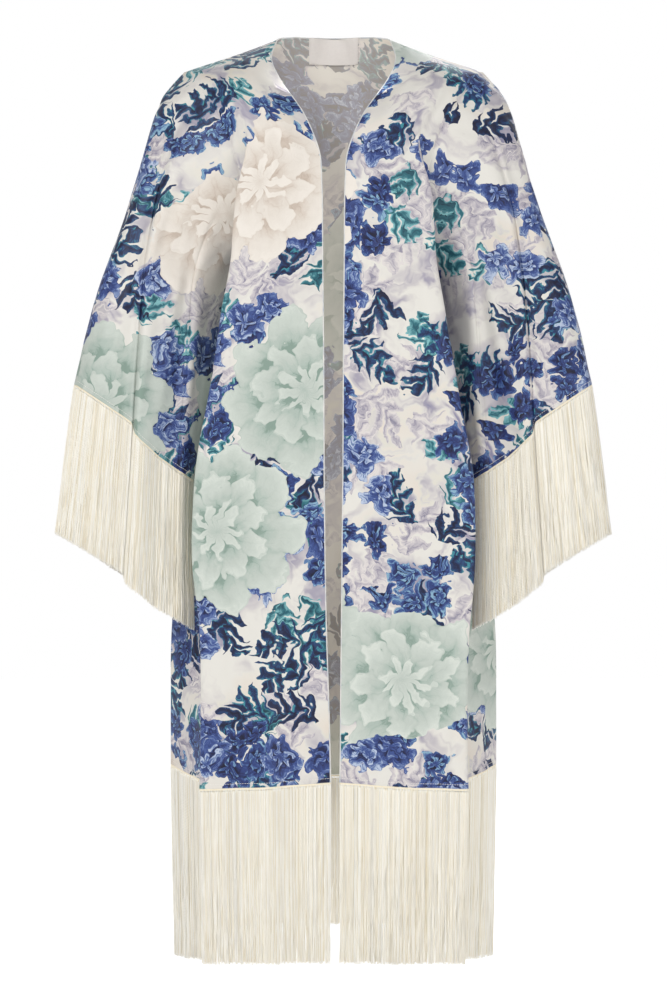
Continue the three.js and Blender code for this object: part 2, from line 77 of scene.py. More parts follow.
def add(tree, kind, links=None, **settings):
    """Adds a node with its settings, and its inputs from sockets or plain values."""
    node = tree.nodes.new(kind)
    for name, value in settings.items():
        setattr(node, name, value)
    for name, value in (links or {}).items():
        if isinstance(value, bpy.types.NodeSocket):
            tree.links.new(value, node.inputs[name])
        else:
            node.inputs[name].default_value = value
    return node


def start_tree(kind, name, inputs, outputs):
    """An empty node tree with named inputs, given as (name, kind, value), and outputs, as (name, kind)."""
    tree = bpy.data.node_groups.new(name, kind)
    for title, socket, value in inputs:
        made = tree.interface.new_socket(title, in_out="INPUT", socket_type="NodeSocket" + socket)
        if value is not None:
            made.default_value = value
    for title, socket in outputs:
        tree.interface.new_socket(title, in_out="OUTPUT", socket_type="NodeSocket" + socket)
    return tree, tree.nodes.new("NodeGroupInput"), tree.nodes.new("NodeGroupOutput")


def work_out(tree, known, rows):
    """Adds a maths node for each row of (result, operation, parts). A part is a number or a result."""
    for result, operation, *parts in rows:
        links = {k: known[part] if isinstance(part, str) else part for k, part in enumerate(parts)}
        known[result] = add(tree, "ShaderNodeMath", links, operation=operation).outputs[0]
    return known


def vector(tree, operation, first, second):
    """The result of a vector operation on two sockets or plain values."""
    second_name = "Scale" if operation == "SCALE" else 1
    node = add(tree, "ShaderNodeVectorMath", {0: first, second_name: second}, operation=operation)
    return node.outputs[0]


def maths(tree, operation, first, second):
    """The result of a maths operation on two sockets or plain values."""
    return add(tree, "ShaderNodeMath", {0: first, 1: second}, operation=operation).outputs[0]


def mixed(tree, share, low, high, **settings):
    """A mix of two colours."""
    node = add(tree, "ShaderNodeMix", {0: share, 6: low, 7: high}, data_type="RGBA", **settings)
    return node.outputs[2]


def scattered_motifs():
    """Scatters motifs over the cloth, and gives the place in the nearest one's cell, turned at random."""
    tree, given, result = start_tree(
        "ShaderNodeTree",
        "scattered motifs",
        [("Place", "Vector", None), ("Spacing", "Float", 0.05), ("Scatter", "Float", 0.8),
         ("Patch", "Float", 0.15), ("Seed", "Float", 0.0)],
        [("Local", "Vector"), ("Random", "Color"), ("Patch", "Float")],
    )
    seed = add(tree, "ShaderNodeCombineXYZ", {0: given.outputs["Seed"], 1: given.outputs["Seed"]}).outputs[0]
    cells = vector(tree, "DIVIDE", given.outputs["Place"], given.outputs["Spacing"])
    moved = vector(tree, "ADD", cells, seed)
    nearest = add(tree, "ShaderNodeTexVoronoi",
                  {"Vector": moved, "Scale": 1.0, "Randomness": given.outputs["Scatter"]},
                  voronoi_dimensions="2D", feature="F1")
    offset = vector(tree, "SUBTRACT", moved, nearest.outputs["Position"])
    split = add(tree, "ShaderNodeSeparateColor", {0: nearest.outputs["Color"]})
    turn = maths(tree, "MULTIPLY", split.outputs[0], 2 * math.pi)
    turned = add(tree, "ShaderNodeVectorRotate", {"Vector": offset, "Angle": turn}, rotation_type="Z_AXIS")
    share = maths(tree, "DIVIDE", given.outputs["Spacing"], given.outputs["Patch"])
    patch = add(tree, "ShaderNodeTexNoise",
                {"Vector": nearest.outputs["Position"], "Scale": share, "Detail": 0.0},
                noise_dimensions="2D")
    tree.links.new(turned.outputs[0], result.inputs["Local"])
    tree.links.new(nearest.outputs["Color"], result.inputs["Random"])
    tree.links.new(patch.outputs[0], result.inputs["Patch"])
    return tree


scattering = scattered_motifs()


def motif_cell(tree, given):
    """Places the scattering inside a motif's tree, and gives the local x and y with the other results."""
    cell = add(tree, "ShaderNodeGroup", node_tree=scattering)
    for name in ("Place", "Spacing", "Scatter", "Patch", "Seed"):
        tree.links.new(given.outputs[name], cell.inputs[name])
    across = add(tree, "ShaderNodeSeparateXYZ", {0: cell.outputs["Local"]})
    known = {name.lower(): given.outputs[name] for name in given.outputs.keys() if name}
    known.update(x=across.outputs[0], y=across.outputs[1], cell_patch=cell.outputs["Patch"])
    return cell, known


def finish_motif(tree, cell, known, result):
    """Passes on a motif's mask and shade, and its cell's random numbers and patch."""
    tree.links.new(known["mask"], result.inputs["Mask"])
    tree.links.new(known["shade"], result.inputs["Shade"])
    tree.links.new(cell.outputs["Random"], result.inputs["Random"])
    tree.links.new(cell.outputs["Patch"], result.inputs["Patch"])
    return tree


MOTIF_INPUTS = [("Place", "Vector", None), ("Spacing", "Float", 0.05), ("Scatter", "Float", 0.8),
                ("Patch", "Float", 0.15), ("Seed", "Float", 0.0), ("Reach", "Float", 0.5)]
MOTIF_OUTPUTS = [("Mask", "Float"), ("Shade", "Float"), ("Random", "Color"), ("Patch", "Float")]


def flower_heads():
    """Round flower heads: rings of petals, each ring's tips between those of the next one."""
    tree, given, result = start_tree(
        "ShaderNodeTree", "flower heads",
        MOTIF_INPUTS + [("Petals", "Float", 5.0), ("Rings", "Float", 2.0), ("Lobe", "Float", 0.5)],
        MOTIF_OUTPUTS,
    )
    cell, known = motif_cell(tree, given)
    work_out(tree, known, [
        ("xx", "MULTIPLY", "x", "x"),
        ("yy", "MULTIPLY", "y", "y"),
        ("sum", "ADD", "xx", "yy"),
        ("length", "SQRT", "sum"),
        ("share", "DIVIDE", "length", "reach"),
        ("out", "MULTIPLY", "share", "rings"),
        ("angle", "ARCTAN2", "y", "x"),
        ("petal_angle", "MULTIPLY", "angle", "petals"),
        ("half_angle", "MULTIPLY", "petal_angle", 0.5),
        ("first", "FLOOR", "out"),
        ("first_turn", "MULTIPLY", "first", math.pi / 2),
        ("first_angle", "ADD", "half_angle", "first_turn"),
        ("first_wave", "COSINE", "first_angle"),
        ("first_form", "ABSOLUTE", "first_wave"),
        ("first_gap", "SUBTRACT", 1.0, "first_form"),
        ("first_notch", "MULTIPLY", "first_gap", "lobe"),
        ("first_end", "ADD", "first", 1.0),
        ("first_tip", "SUBTRACT", "first_end", "first_notch"),
        ("beyond", "GREATER_THAN", "out", "first_tip"),
        ("ring", "ADD", "first", "beyond"),
        ("ring_turn", "MULTIPLY", "ring", math.pi / 2),
        ("ring_angle", "ADD", "half_angle", "ring_turn"),
        ("wave", "COSINE", "ring_angle"),
        ("form", "ABSOLUTE", "wave"),
        ("gap", "SUBTRACT", 1.0, "form"),
        ("notch", "MULTIPLY", "gap", "lobe"),
        ("ring_end", "ADD", "ring", 1.0),
        ("tip", "SUBTRACT", "ring_end", "notch"),
        ("depth", "SUBTRACT", "tip", "out"),
        ("last", "SUBTRACT", "rings", 0.5),
        ("mask", "LESS_THAN", "ring", "last"),
        ("depth_share", "DIVIDE", "depth", 1.3),
        ("lit", "SUBTRACT", 1.0, "depth_share"),
        ("lit_soft", "MAXIMUM", "lit", 0.0),
        ("lit_curve", "POWER", "lit_soft", 0.8),
        ("crease", "POWER", "gap", 2.2),
        ("crease_dark", "MULTIPLY", "crease", 0.55),
        ("edge_near", "LESS_THAN", "depth", 0.07),
        ("edge_dark", "MULTIPLY", "edge_near", 0.22),
        ("shade_one", "SUBTRACT", "lit_curve", "crease_dark"),
        ("shade_two", "SUBTRACT", "shade_one", "edge_dark"),
        ("vein_angle", "MULTIPLY", "petal_angle", 4.0),
        ("vein_wave", "COSINE", "vein_angle"),
        ("vein_some", "MAXIMUM", "vein_wave", 0.0),
        ("vein_fine", "POWER", "vein_some", 5.0),
        ("vein_fade", "MULTIPLY_ADD", "lit_soft", -0.16, 0.16),
        ("vein", "MULTIPLY", "vein_fine", "vein_fade"),
        ("shade_three", "SUBTRACT", "shade_two", "vein"),
        ("shade", "MAXIMUM", "shade_three", 0.0),
    ])
    return finish_motif(tree, cell, known, result)


def leaf_sprays():
    """Sprays of slanting leaflets along a stem."""
    tree, given, result = start_tree(
        "ShaderNodeTree", "leaf sprays",
        MOTIF_INPUTS + [("Leaflets", "Float", 4.0), ("Slant", "Float", 0.9), ("Width", "Float", 0.42)],
        MOTIF_OUTPUTS,
    )
    cell, known = motif_cell(tree, given)
    work_out(tree, known, [
        ("along", "DIVIDE", "x", "reach"),
        ("bow", "MULTIPLY", "x", "x"),
        ("bow_small", "MULTIPLY", "bow", 0.9),
        ("bent", "ADD", "y", "bow_small"),
        ("off", "ABSOLUTE", "bent"),
        ("aside", "DIVIDE", "off", "reach"),
        ("along_sq", "MULTIPLY", "along", "along"),
        ("room", "SUBTRACT", 1.0, "along_sq"),
        ("room_some", "MAXIMUM", "room", 0.0),
        ("leaf_reach", "MULTIPLY", "room_some", 0.62),
        ("leaf_safe", "MAXIMUM", "leaf_reach", 0.01),
        ("out", "DIVIDE", "aside", "leaf_safe"),
        ("slanted", "MULTIPLY", "aside", "slant"),
        ("back", "SUBTRACT", "along", "slanted"),
        ("count", "MULTIPLY", "back", "leaflets"),
        ("side", "GREATER_THAN", "bent", 0.0),
        ("side_step", "MULTIPLY", "side", 0.5),
        ("stepped", "ADD", "count", "side_step"),
        ("place_in", "FRACT", "stepped"),
        ("centred", "SUBTRACT", "place_in", 0.5),
        ("from_middle", "ABSOLUTE", "centred"),
        ("out_sq", "MULTIPLY", "out", "out"),
        ("narrow", "SUBTRACT", 1.0, "out_sq"),
        ("narrow_some", "MAXIMUM", "narrow", 0.0),
        ("half_width", "MULTIPLY", "narrow_some", "width"),
        ("in_leaf", "LESS_THAN", "from_middle", "half_width"),
        ("stem_near", "LESS_THAN", "aside", 0.05),
        ("stem_end", "GREATER_THAN", "room", 0.05),
        ("stem", "MULTIPLY", "stem_near", "stem_end"),
        ("mask", "MAXIMUM", "in_leaf", "stem"),
        ("vein", "MULTIPLY", "from_middle", 1.8),
        ("vein_lit", "ADD", "vein", 0.1),
        ("out_lit", "MULTIPLY", "out", 0.45),
        ("shade", "ADD", "vein_lit", "out_lit"),
    ])
    return finish_motif(tree, cell, known, result)


heads = flower_heads()
sprays = leaf_sprays()


def colour_steps(tree, value, steps):
    """A colour ramp through steps of (place, hex code)."""
    ramp = add(tree, "ShaderNodeValToRGB", {0: value})
    band = ramp.color_ramp
    while len(band.elements) < len(steps):
        band.elements.new(0.5)
    for element, (place, code) in zip(band.elements, steps):
        element.position = place
        element.color = linear(code)
    return ramp.outputs[0]


IVORY = "#D8D5CE"
WASH = [(0.44, IVORY), (0.52, "#D0CCC7"), (0.60, "#BDB8BA"), (0.67, "#A19CA8"), (0.76, "#85829A")]
CREAM_WASH = [(0.48, IVORY), (0.70, "#D6CCC0")]
GREY_LEAVES = [(0.0, "#858192"), (0.45, "#B2ACB3"), (1.0, "#D3CDCA")]
DARK_LEAVES = [(0.0, "#14162C"), (0.4, "#1C2342"), (0.75, "#23406B"), (1.0, "#3C8490")]
TEAL_LEAVES = [(0.0, "#173949"), (0.5, "#2A6672"), (1.0, "#7DB4B8")]
BLUE_PETALS = [(0.0, "#1B2040"), (0.25, "#2A3769"), (0.6, "#3B4F89"), (0.85, "#6C80A9"), (1.0, "#AFBBD0")]
DEEP_PETALS = [(0.0, "#14162E"), (0.3, "#202752"), (0.65, "#2F417A"), (0.9, "#5473A0"), (1.0, "#84A7BD")]
MINT_PETALS = [(0.0, "#82968B"), (0.2, "#A2B0A7"), (0.5, "#B5BDB5"), (0.8, "#C0C7BF"), (1.0, "#CDD2CA")]
CREAM_PETALS = [(0.0, "#B5A597"), (0.25, "#C9BDB1"), (0.6, "#D6CEC4"), (1.0, "#DFD8CF")]

# Layers of the print, lowest first: motif, colours, share of the patches that it leaves empty, share of its
# own heads that are left out, how strongly the brush strokes show, and its sizes. Lengths are in metres.
PRINT_LAYERS = [
    (sprays, GREY_LEAVES, 0.42, 0.15, 1.2, {"Spacing": 0.070, "Patch": 0.19, "Seed": 3.0, "Reach": 0.75,
                                            "Leaflets": 2.4, "Width": 0.50}),
    (sprays, TEAL_LEAVES, 0.53, 0.45, 1.0, {"Spacing": 0.052, "Patch": 0.13, "Seed": 11.0, "Reach": 0.8,
                                            "Leaflets": 2.2, "Width": 0.44}),
    (sprays, DARK_LEAVES, 0.49, 0.15, 1.0, {"Spacing": 0.064, "Patch": 0.16, "Seed": 23.0, "Reach": 0.82,
                                            "Leaflets": 2.5, "Width": 0.42}),
    (heads, DEEP_PETALS, 0.54, 0.20, 1.2, {"Spacing": 0.044, "Patch": 0.18, "Seed": 31.0, "Reach": 0.56,
                                           "Petals": 6.0, "Rings": 2.0, "Lobe": 0.75}),
    (heads, BLUE_PETALS, 0.51, 0.38, 1.2, {"Spacing": 0.052, "Patch": 0.18, "Seed": 47.0, "Reach": 0.56,
                                           "Petals": 5.0, "Rings": 2.0, "Lobe": 0.72}),
    (heads, MINT_PETALS, 0.44, 0.08, 0.3, {"Spacing": 0.225, "Patch": 0.36, "Seed": 5.0, "Reach": 0.52,
                                           "Petals": 9.0, "Rings": 3.0, "Lobe": 0.62}),
]


# The brush bends every outline by a few millimetres: scale of the bends, reach in metres, and distortion
BRUSH_BENDS = ((18.0, 0.013, 0.6), (48.0, 0.0075, 0.9), (120.0, 0.0022, 0.5))
CREAM_HEADS_FROM = 0.78


def flat_noise(tree, place, scale, detail, distortion):
    """Noise over the flat cloth."""
    return add(tree, "ShaderNodeTexNoise",
               {"Vector": place, "Scale": scale, "Detail": detail, "Distortion": distortion},
               noise_dimensions="2D")


def print_tree():
    """The whole print on a place on the cloth in metres."""
    tree, given, result = start_tree("ShaderNodeTree", "floral print", [("Place", "Vector", None)],
                                     [("Color", "Color")])
    place = given.outputs["Place"]
    for scale, reach, distortion in BRUSH_BENDS:
        bend = flat_noise(tree, given.outputs["Place"], scale, 0.2, distortion)
        centred = vector(tree, "SUBTRACT", bend.outputs["Color"], (0.5, 0.5, 0.5))
        place = vector(tree, "ADD", place, vector(tree, "SCALE", centred, 2 * reach))
    wash = flat_noise(tree, place, 17.0, 3.0, 0.8)
    warm = flat_noise(tree, place, 7.0, 1.0, 0.0)
    colour = mixed(tree, 1.0, colour_steps(tree, wash.outputs[0], WASH),
                   colour_steps(tree, warm.outputs[0], CREAM_WASH), blend_type="DARKEN")
    stroke = flat_noise(tree, place, 62.0, 2.0, 5.5).outputs[0]
    for motif, colours, patch_from, left_out, strength, sizes in PRINT_LAYERS:
        layer = add(tree, "ShaderNodeGroup", {"Place": place, **sizes}, node_tree=motif)
        random = add(tree, "ShaderNodeSeparateColor", {0: layer.outputs["Random"]})
        known = {name.lower(): layer.outputs[name] for name in ("Mask", "Shade", "Patch")}
        known.update(chance=random.outputs[1], tone=random.outputs[2], stroke=stroke)
        work_out(tree, known, [
            ("in_patch", "GREATER_THAN", "patch", patch_from),
            ("kept", "GREATER_THAN", "chance", left_out),
            ("both", "MULTIPLY", "in_patch", "kept"),
            ("shown", "MULTIPLY", "mask", "both"),
            ("stroke_small", "MULTIPLY_ADD", "stroke", strength, -0.5 * strength),
            ("tone_small", "MULTIPLY_ADD", "tone", 0.3, -0.15),
            ("painted", "ADD", "shade", "stroke_small"),
            ("toned", "ADD", "painted", "tone_small"),
        ])
        paint = colour_steps(tree, known["toned"], colours)
        if colours is MINT_PETALS:
            work_out(tree, known, [("is_cream", "GREATER_THAN", "tone", CREAM_HEADS_FROM)])
            cream = colour_steps(tree, known["toned"], CREAM_PETALS)
            paint = mixed(tree, known["is_cream"], paint, cream)
        colour = mixed(tree, known["shown"], colour, paint)
    tree.links.new(colour, result.inputs["Color"])
    return tree


floral_print = print_tree()

# Polyester satin reflects softly along its floats. The real threads lie 0.15 mm apart, too fine to show in
# the render, so the weave is drawn eight times as coarse.
DRAWN_THREAD = 1.2 * MM
REVERSE_FADE = 0.48
REVERSE_COLOUR = "#DDD4C7"


def new_material(name, settings):
    """A material with plain settings on its surface. Gives its tree and its surface too."""
    material = bpy.data.materials.new(name)
    material.use_nodes = True
    tree = material.node_tree
    surface = tree.nodes["Principled BSDF"]
    for socket, value in settings.items():
        surface.inputs[socket].default_value = value
    return material, tree, surface


def raise_surface(tree, surface, height, strength, distance):
    """Gives a surface its fine relief."""
    bump = add(tree, "ShaderNodeBump", {"Height": height, "Strength": strength, "Distance": distance})
    tree.links.new(bump.outputs[0], surface.inputs["Normal"])


def printed_satin(name, reverse):
    """Satin with the print on its face, or with the muted print that shows on its reverse."""
    material, tree, surface = new_material(name, {
        "Roughness": 0.6 if reverse else 0.46, "IOR": 1.46, "Specular IOR Level": 0.35,
        "Sheen Weight": 0.12, "Sheen Roughness": 0.4,
    })
    spread = add(tree, "ShaderNodeUVMap", uv_map="cut")
    paint = add(tree, "ShaderNodeGroup", {"Place": spread.outputs[0]}, node_tree=floral_print)
    colour = paint.outputs["Color"]
    if reverse:
        colour = mixed(tree, REVERSE_FADE, colour, linear(REVERSE_COLOUR))
    tree.links.new(colour, surface.inputs["Base Color"])
    threads = []
    for direction in ("X", "Y"):
        thread = add(tree, "ShaderNodeTexWave",
                     {"Vector": spread.outputs[0], "Scale": math.pi / 10 / DRAWN_THREAD,
                      "Distortion": 0.6, "Detail": 1.0},
                     bands_direction=direction)
        threads.append(thread.outputs["Fac"])
    weave = maths(tree, "MULTIPLY", *threads)
    crepe = flat_noise(tree, spread.outputs[0], 420.0, 2.0, 0.0)
    raise_surface(tree, surface, maths(tree, "ADD", weave, crepe.outputs[0]), 0.18, 0.3 * MM)
    return material


satin_face = printed_satin("printed satin face", False)
satin_reverse = printed_satin("printed satin reverse", True)

# Fronts
# Each front is one panel of printed satin, cut straight from shoulder to hem and sewn at the shoulder and the
# side. It hangs free from the chest in one long fold, whose ridge and valley are the CAD part's own.
CLOTH_THICKNESS = 0.8 * MM
ROWS_PER_STATION_BELOW = 20
ROWS_PER_STATION_ABOVE = 12
COLUMNS_PER_FRONT_SPAN = 16
UNDERARM = 7
SHOULDER = 14
FRONT_SPANS = 5
OPENING_SHIFT = 2.4
OPENING_SHIFT_STATIONS = 3
FOLD_FREE_SEAM = 0.4

# Half of the front in millimetres, from the hem to the shoulder seam, with x counted from the robe's middle
FRONT_MEASURES = ("edgeX edgeY edgeZ midX midY ridgeX ridgeY valleyX valleyY flankX flankY "
                  "sideX sideY sideZ dip").split()
FRONT_ROWS = [
    [6.5, -118, -1039, 95, -128, 181, -124, 166, -84, 200, -28, 232, 28, -1026, 14],
    [8, -118, -945, 95, -128, 180, -124, 164, -83, 195, -26, 232, 30, -940, 3],
    [10, -118, -840, 95, -128, 182, -123, 163, -81, 186, -22, 231, 33, -840, 0],
    [11.5, -118, -735, 96, -127, 193, -121, 165, -79, 180, -18, 222, 36, -735, 0],
    [12.7, -118, -620, 96, -126, 190, -119, 158, -77, 167, -15, 203, 38, -620, 0],
    [13.3, -118, -505, 93, -125, 170, -117, 138, -75, 146, -12, 176, 36, -505, 0],
    [14, -118, -405, 88, -124, 155, -114, 124, -74, 130, -14, 153, 30, -405, 0],
    [14.6, -118, -331, 80, -124, 141, -111, 116, -76, 118, -32, 141, 14, -331, 0],
    [15, -118, -272, 75, -122, 137, -109, 117, -84, 117, -66, 129, -44, -285, 0],
    [16, -117, -215, 72, -120, 132, -107, 118, -92, 117, -82, 126, -70, -235, 0],
    [20, -112, -172, 68, -116, 119, -106, 118, -99, 124, -91, 135, -80, -180, 0],
    [40, -96, -122, 77, -106, 110, -103, 128, -97, 141, -88, 157, -75, -125, 0],
    [74, -57, -68, 98, -73, 121, -79, 144, -77, 166, -67, 186, -50, -79, 2],
    [87, -22, -33, 109, -38, 130, -44, 153, -44, 176, -37, 201, -26, -58, 1],
    [80, 14, 0, 105, 11, 131, 8, 158, 5, 185, 2, 211, 0, -48, 1],
]
# Soft folds of the CAD part: place across the panel, width, depth in millimetres, and the station they end at
FRONT_FOLDS = [(0.55, 0.3, 4, 9), (1.45, 0.32, 6, 8)]
CREASE_FADE = 0.35
# The cloth's slight ripple: turns in a metre across and up, and rise in millimetres
RIPPLE_WAVES = [(9, 1.3, 0.9), (17, 2.1, 0.6), (31, 3.7, 0.35), (47, 9, 0.2)]
FULL_TURN = 6.28
SHARP_FROM = 60


def through(values, place):
    """A smooth curve through a list of values, at places counted in list steps."""
    values = np.asarray(values, float)
    place = np.atleast_1d(np.asarray(place, float))
    step = np.clip(np.floor(place).astype(int), 0, len(values) - 2)
    knots = np.concatenate([2 * values[:1] - values[1:2], values, 2 * values[-1:] - values[-2:-1]])
    p0, p1, p2, p3 = (knots[step + k] for k in range(4))
    t = (place - step).reshape((-1,) + (1,) * (values.ndim - 1))
    bend = (2 * p0 - 5 * p1 + 4 * p2 - p3) * t**2 + (3 * p1 - p0 - 3 * p2 + p3) * t**3
    return p1 + 0.5 * ((p2 - p0) * t + bend)


def ease(value):
    """A soft step from 0 to 1."""
    value = np.clip(value, 0, 1)
    return value**2 * (3 - 2 * value)


below = np.arange(UNDERARM * ROWS_PER_STATION_BELOW) / ROWS_PER_STATION_BELOW
above = UNDERARM + np.arange((SHOULDER - UNDERARM) * ROWS_PER_STATION_ABOVE + 1) / ROWS_PER_STATION_ABOVE
stations = np.concatenate([below, above])
front_columns = FRONT_SPANS * COLUMNS_PER_FRONT_SPAN
front_rows = dict(zip(FRONT_MEASURES, through(FRONT_ROWS, stations).T))
front_sides = np.array(FRONT_ROWS, float)[:, 11:14]


def side_line(armhole):
    """The side of a panel: the side seam up to the underarm, then the panel's own part of the armhole."""
    return np.concatenate([through(front_sides[: UNDERARM + 1], below), through(armhole, above - UNDERARM)])


def fold_depths(folds, across):
    """How deep the CAD part's soft folds are, at every station and place across."""
    depth = np.zeros((len(stations), len(across)))
    for middle, width, most, top in folds:
        reach = ease((top - stations) / top)
        depth += most * np.outer(reach, np.exp(-(((across - middle) / width) ** 2)))
    return depth


def front_knots():
    """The corners of a front's section at every station, from its free edge to its side, in millimetres."""
    m = front_rows
    side = side_line(front_sides[UNDERARM:])
    knots = [np.stack([m["edgeX"], m["edgeY"], m["edgeZ"]], axis=1)]
    for k, name in enumerate(("mid", "ridge", "valley", "flank")):
        share = (k + 1) / FRONT_SPANS
        height = m["edgeZ"] + (side[:, 2] - m["edgeZ"]) * share - m["dip"] * math.sin(math.pi * share)
        knots.append(np.stack([m[name + "X"], m[name + "Y"], height], axis=1))
    return knots + [side]


def front_places(hand):
    """The outer face of a front, row by row from the hem up and from the free edge to the side."""
    across = np.arange(front_columns + 1) / COLUMNS_PER_FRONT_SPAN
    places = through(front_knots(), across).transpose(1, 0, 2)
    places[:, :, 1] += fold_depths(FRONT_FOLDS, across) * ease((FRONT_SPANS - across) / FOLD_FREE_SEAM)
    places[:, :, 0] *= hand
    shift = OPENING_SHIFT * ease((OPENING_SHIFT_STATIONS - stations) / OPENING_SHIFT_STATIONS)
    places[:, :, 0] += np.outer(shift, np.clip(1 - across, 0, 1))
    return places * MM


def facing_out(places, closed=False):
    """The directions out of a grid of places, away from the middle of the robe."""
    padded = np.concatenate([places[:, -1:], places, places[:, :1]], axis=1) if closed else places
    along = np.gradient(padded, axis=1)
    along = along[:, 1:-1] if closed else along
    out = np.cross(along, np.gradient(places, axis=0))
    out /= np.maximum(np.linalg.norm(out, axis=2, keepdims=True), 1e-12)
    # A point further in than the cloth tells which way is out
    inner = places.mean(axis=(0, 1)) * (0.8, 0, 1) if not closed else places.mean(axis=1, keepdims=True)
    return out if (out * (places - inner)).sum() > 0 else -out


def cut_places(places, closed=False):
    """Where each corner lies on the flat cloth, in metres, from lengths measured along the grid's lines."""
    ring = np.concatenate([places, places[:, :1]], axis=1) if closed else places
    across = np.linalg.norm(np.diff(ring, axis=1), axis=2).cumsum(axis=1)
    up = np.linalg.norm(np.diff(ring, axis=0), axis=2).cumsum(axis=0)
    across = np.concatenate([np.zeros((len(ring), 1)), across], axis=1)
    up = np.concatenate([np.zeros((1, ring.shape[1])), up], axis=0)
    return np.stack([across, up], axis=2)


def crease(cut, folds):
    """The height of listed folds, each from (u, v) to (u, v) on the flat cloth, with width and rise."""
    lift = np.zeros(cut.shape[:2])
    for u0, v0, u1, v1, width, rise in folds:
        run = np.array([u1 - u0, v1 - v0])
        length = np.hypot(*run)
        away = cut - (u0, v0)
        along = away @ run / length**2
        aside = (away[:, :, 0] * run[1] - away[:, :, 1] * run[0]) / length
        reach = ease(along / CREASE_FADE + 0.5) * ease((1 - along) / CREASE_FADE + 0.5)
        lift += rise * MM * np.exp(-((aside / width) ** 2)) * reach
    return lift


def ripple(cut, seed):
    """The cloth's own slight unevenness, long in the hanging direction."""
    u, v = cut[:, :, 0], cut[:, :, 1]
    lift = np.zeros(u.shape)
    for k, (across, up, rise) in enumerate(RIPPLE_WAVES):
        turn = seed * 1.7 + k * 2.3
        bend = 1.4 * np.sin(up * FULL_TURN * v + turn)
        lift += rise * MM * np.sin(across * FULL_TURN * u + bend + turn)
    return lift


def from_edges(places, edges, reach, closed=False):
    """0 on the named edges of a grid and 1 beyond reach metres from them."""
    cut = cut_places(places, closed)[:, : places.shape[1]]
    distances = {"start": cut[:, :, 0], "end": cut[:, -1:, 0] - cut[:, :, 0],
                 "bottom": cut[:, :, 1], "top": cut[-1:, :, 1] - cut[:, :, 1]}
    fade = np.ones(places.shape[:2])
    for name in edges:
        fade = np.minimum(fade, ease(distances[name] / reach))
    return fade


def sewn_cloth(name, places, materials, thickness, print_at=(0, 0), closed=False, out=None, spread=None):
    """A thin closed shell: the outer face of the given grid, an inner face and the rims between them."""
    out = facing_out(places, closed) if out is None else out
    rows, columns = places.shape[:2]
    spans = columns if closed else columns - 1
    i, j = np.meshgrid(np.arange(rows - 1), np.arange(spans), indexing="ij")
    corners = [(i, j), (i, j + 1), (i + 1, j + 1), (i + 1, j)]
    face = np.stack([a * columns + b % columns for a, b in corners], axis=2).reshape(-1, 4)
    on_cut = np.stack([a * (spans + 1) + b for a, b in corners], axis=2).reshape(-1, 4)
    first = face[0]
    flat = places.reshape(-1, 3)
    way = np.cross(flat[first[1]] - flat[first[0]], flat[first[3]] - flat[first[0]])
    if way @ out.reshape(-1, 3)[first[0]] < 0:
        face, on_cut = face[:, ::-1], on_cut[:, ::-1]
    layer = rows * columns
    inner = face[:, ::-1] + layer
    used = {}
    for k, quad in enumerate(face):
        for a, b in zip(quad, np.roll(quad, -1)):
            used[(a, b)] = k
    rims, rim_cuts = [], []
    for (a, b), k in used.items():
        if (b, a) not in used:
            rims.append((b, a, a + layer, b + layer))
            spot = {int(q): int(c) for q, c in zip(face[k], on_cut[k])}
            rim_cuts.append((spot[b], spot[a], spot[a], spot[b]))
    faces = np.concatenate([face, inner, np.array(rims)])
    cuts = np.concatenate([on_cut, on_cut[:, ::-1], np.array(rim_cuts)])
    mesh = bpy.data.meshes.new(name)
    points = np.concatenate([flat, flat - out.reshape(-1, 3) * thickness])
    mesh.from_pydata(points.tolist(), [], faces.tolist())
    spread = cut_places(places, closed) if spread is None else spread
    spread = (spread + print_at).reshape(-1, 2)
    on_corners = spread[cuts.reshape(-1)].astype(np.float32)
    mesh.uv_layers.new(name="cut").data.foreach_set("uv", on_corners.ravel())
    for material in materials:
        mesh.materials.append(material)
    sides = np.zeros(len(faces), np.int32)
    sides[len(face) : 2 * len(face)] = len(materials) - 1
    mesh.polygons.foreach_set("material_index", sides)
    mesh.polygons.foreach_set("use_smooth", np.ones(len(faces), bool))
    mesh.set_sharp_from_angle(angle=math.radians(SHARP_FROM))
    mesh.update()
    piece = bpy.data.objects.new(name, mesh)
    bpy.context.scene.collection.objects.link(piece)
    return piece


# Folds of a front: from (u, v) to (u, v) on the cut in metres, from its free edge and its hem,
# then width in metres and rise in millimetres
RIGHT_FRONT_CREASES = [
    (0.062, -0.03, 0.055, 0.36, 0.012, -2.6),
    (0.085, -0.03, 0.088, 0.30, 0.014, 2.0),
    (0.022, -0.03, 0.026, 0.20, 0.011, 1.6),
    (0.118, -0.02, 0.105, 0.46, 0.015, -1.8),
    (0.148, -0.03, 0.152, 0.40, 0.013, 2.2),
    (0.118, 0.42, 0.092, 0.86, 0.017, -2.2),
    (0.142, 0.50, 0.130, 0.80, 0.012, 1.6),
    (0.060, 0.80, 0.034, 0.58, 0.018, 1.4),
    (0.112, 1.00, 0.094, 0.80, 0.013, -2.4),
    (0.088, 1.02, 0.070, 0.86, 0.012, 1.5),
    (0.200, -0.02, 0.205, 0.42, 0.014, -2.0),
    (0.262, -0.03, 0.252, 0.34, 0.016, 2.6),
    (0.290, -0.03, 0.280, 0.50, 0.014, -2.2),
]
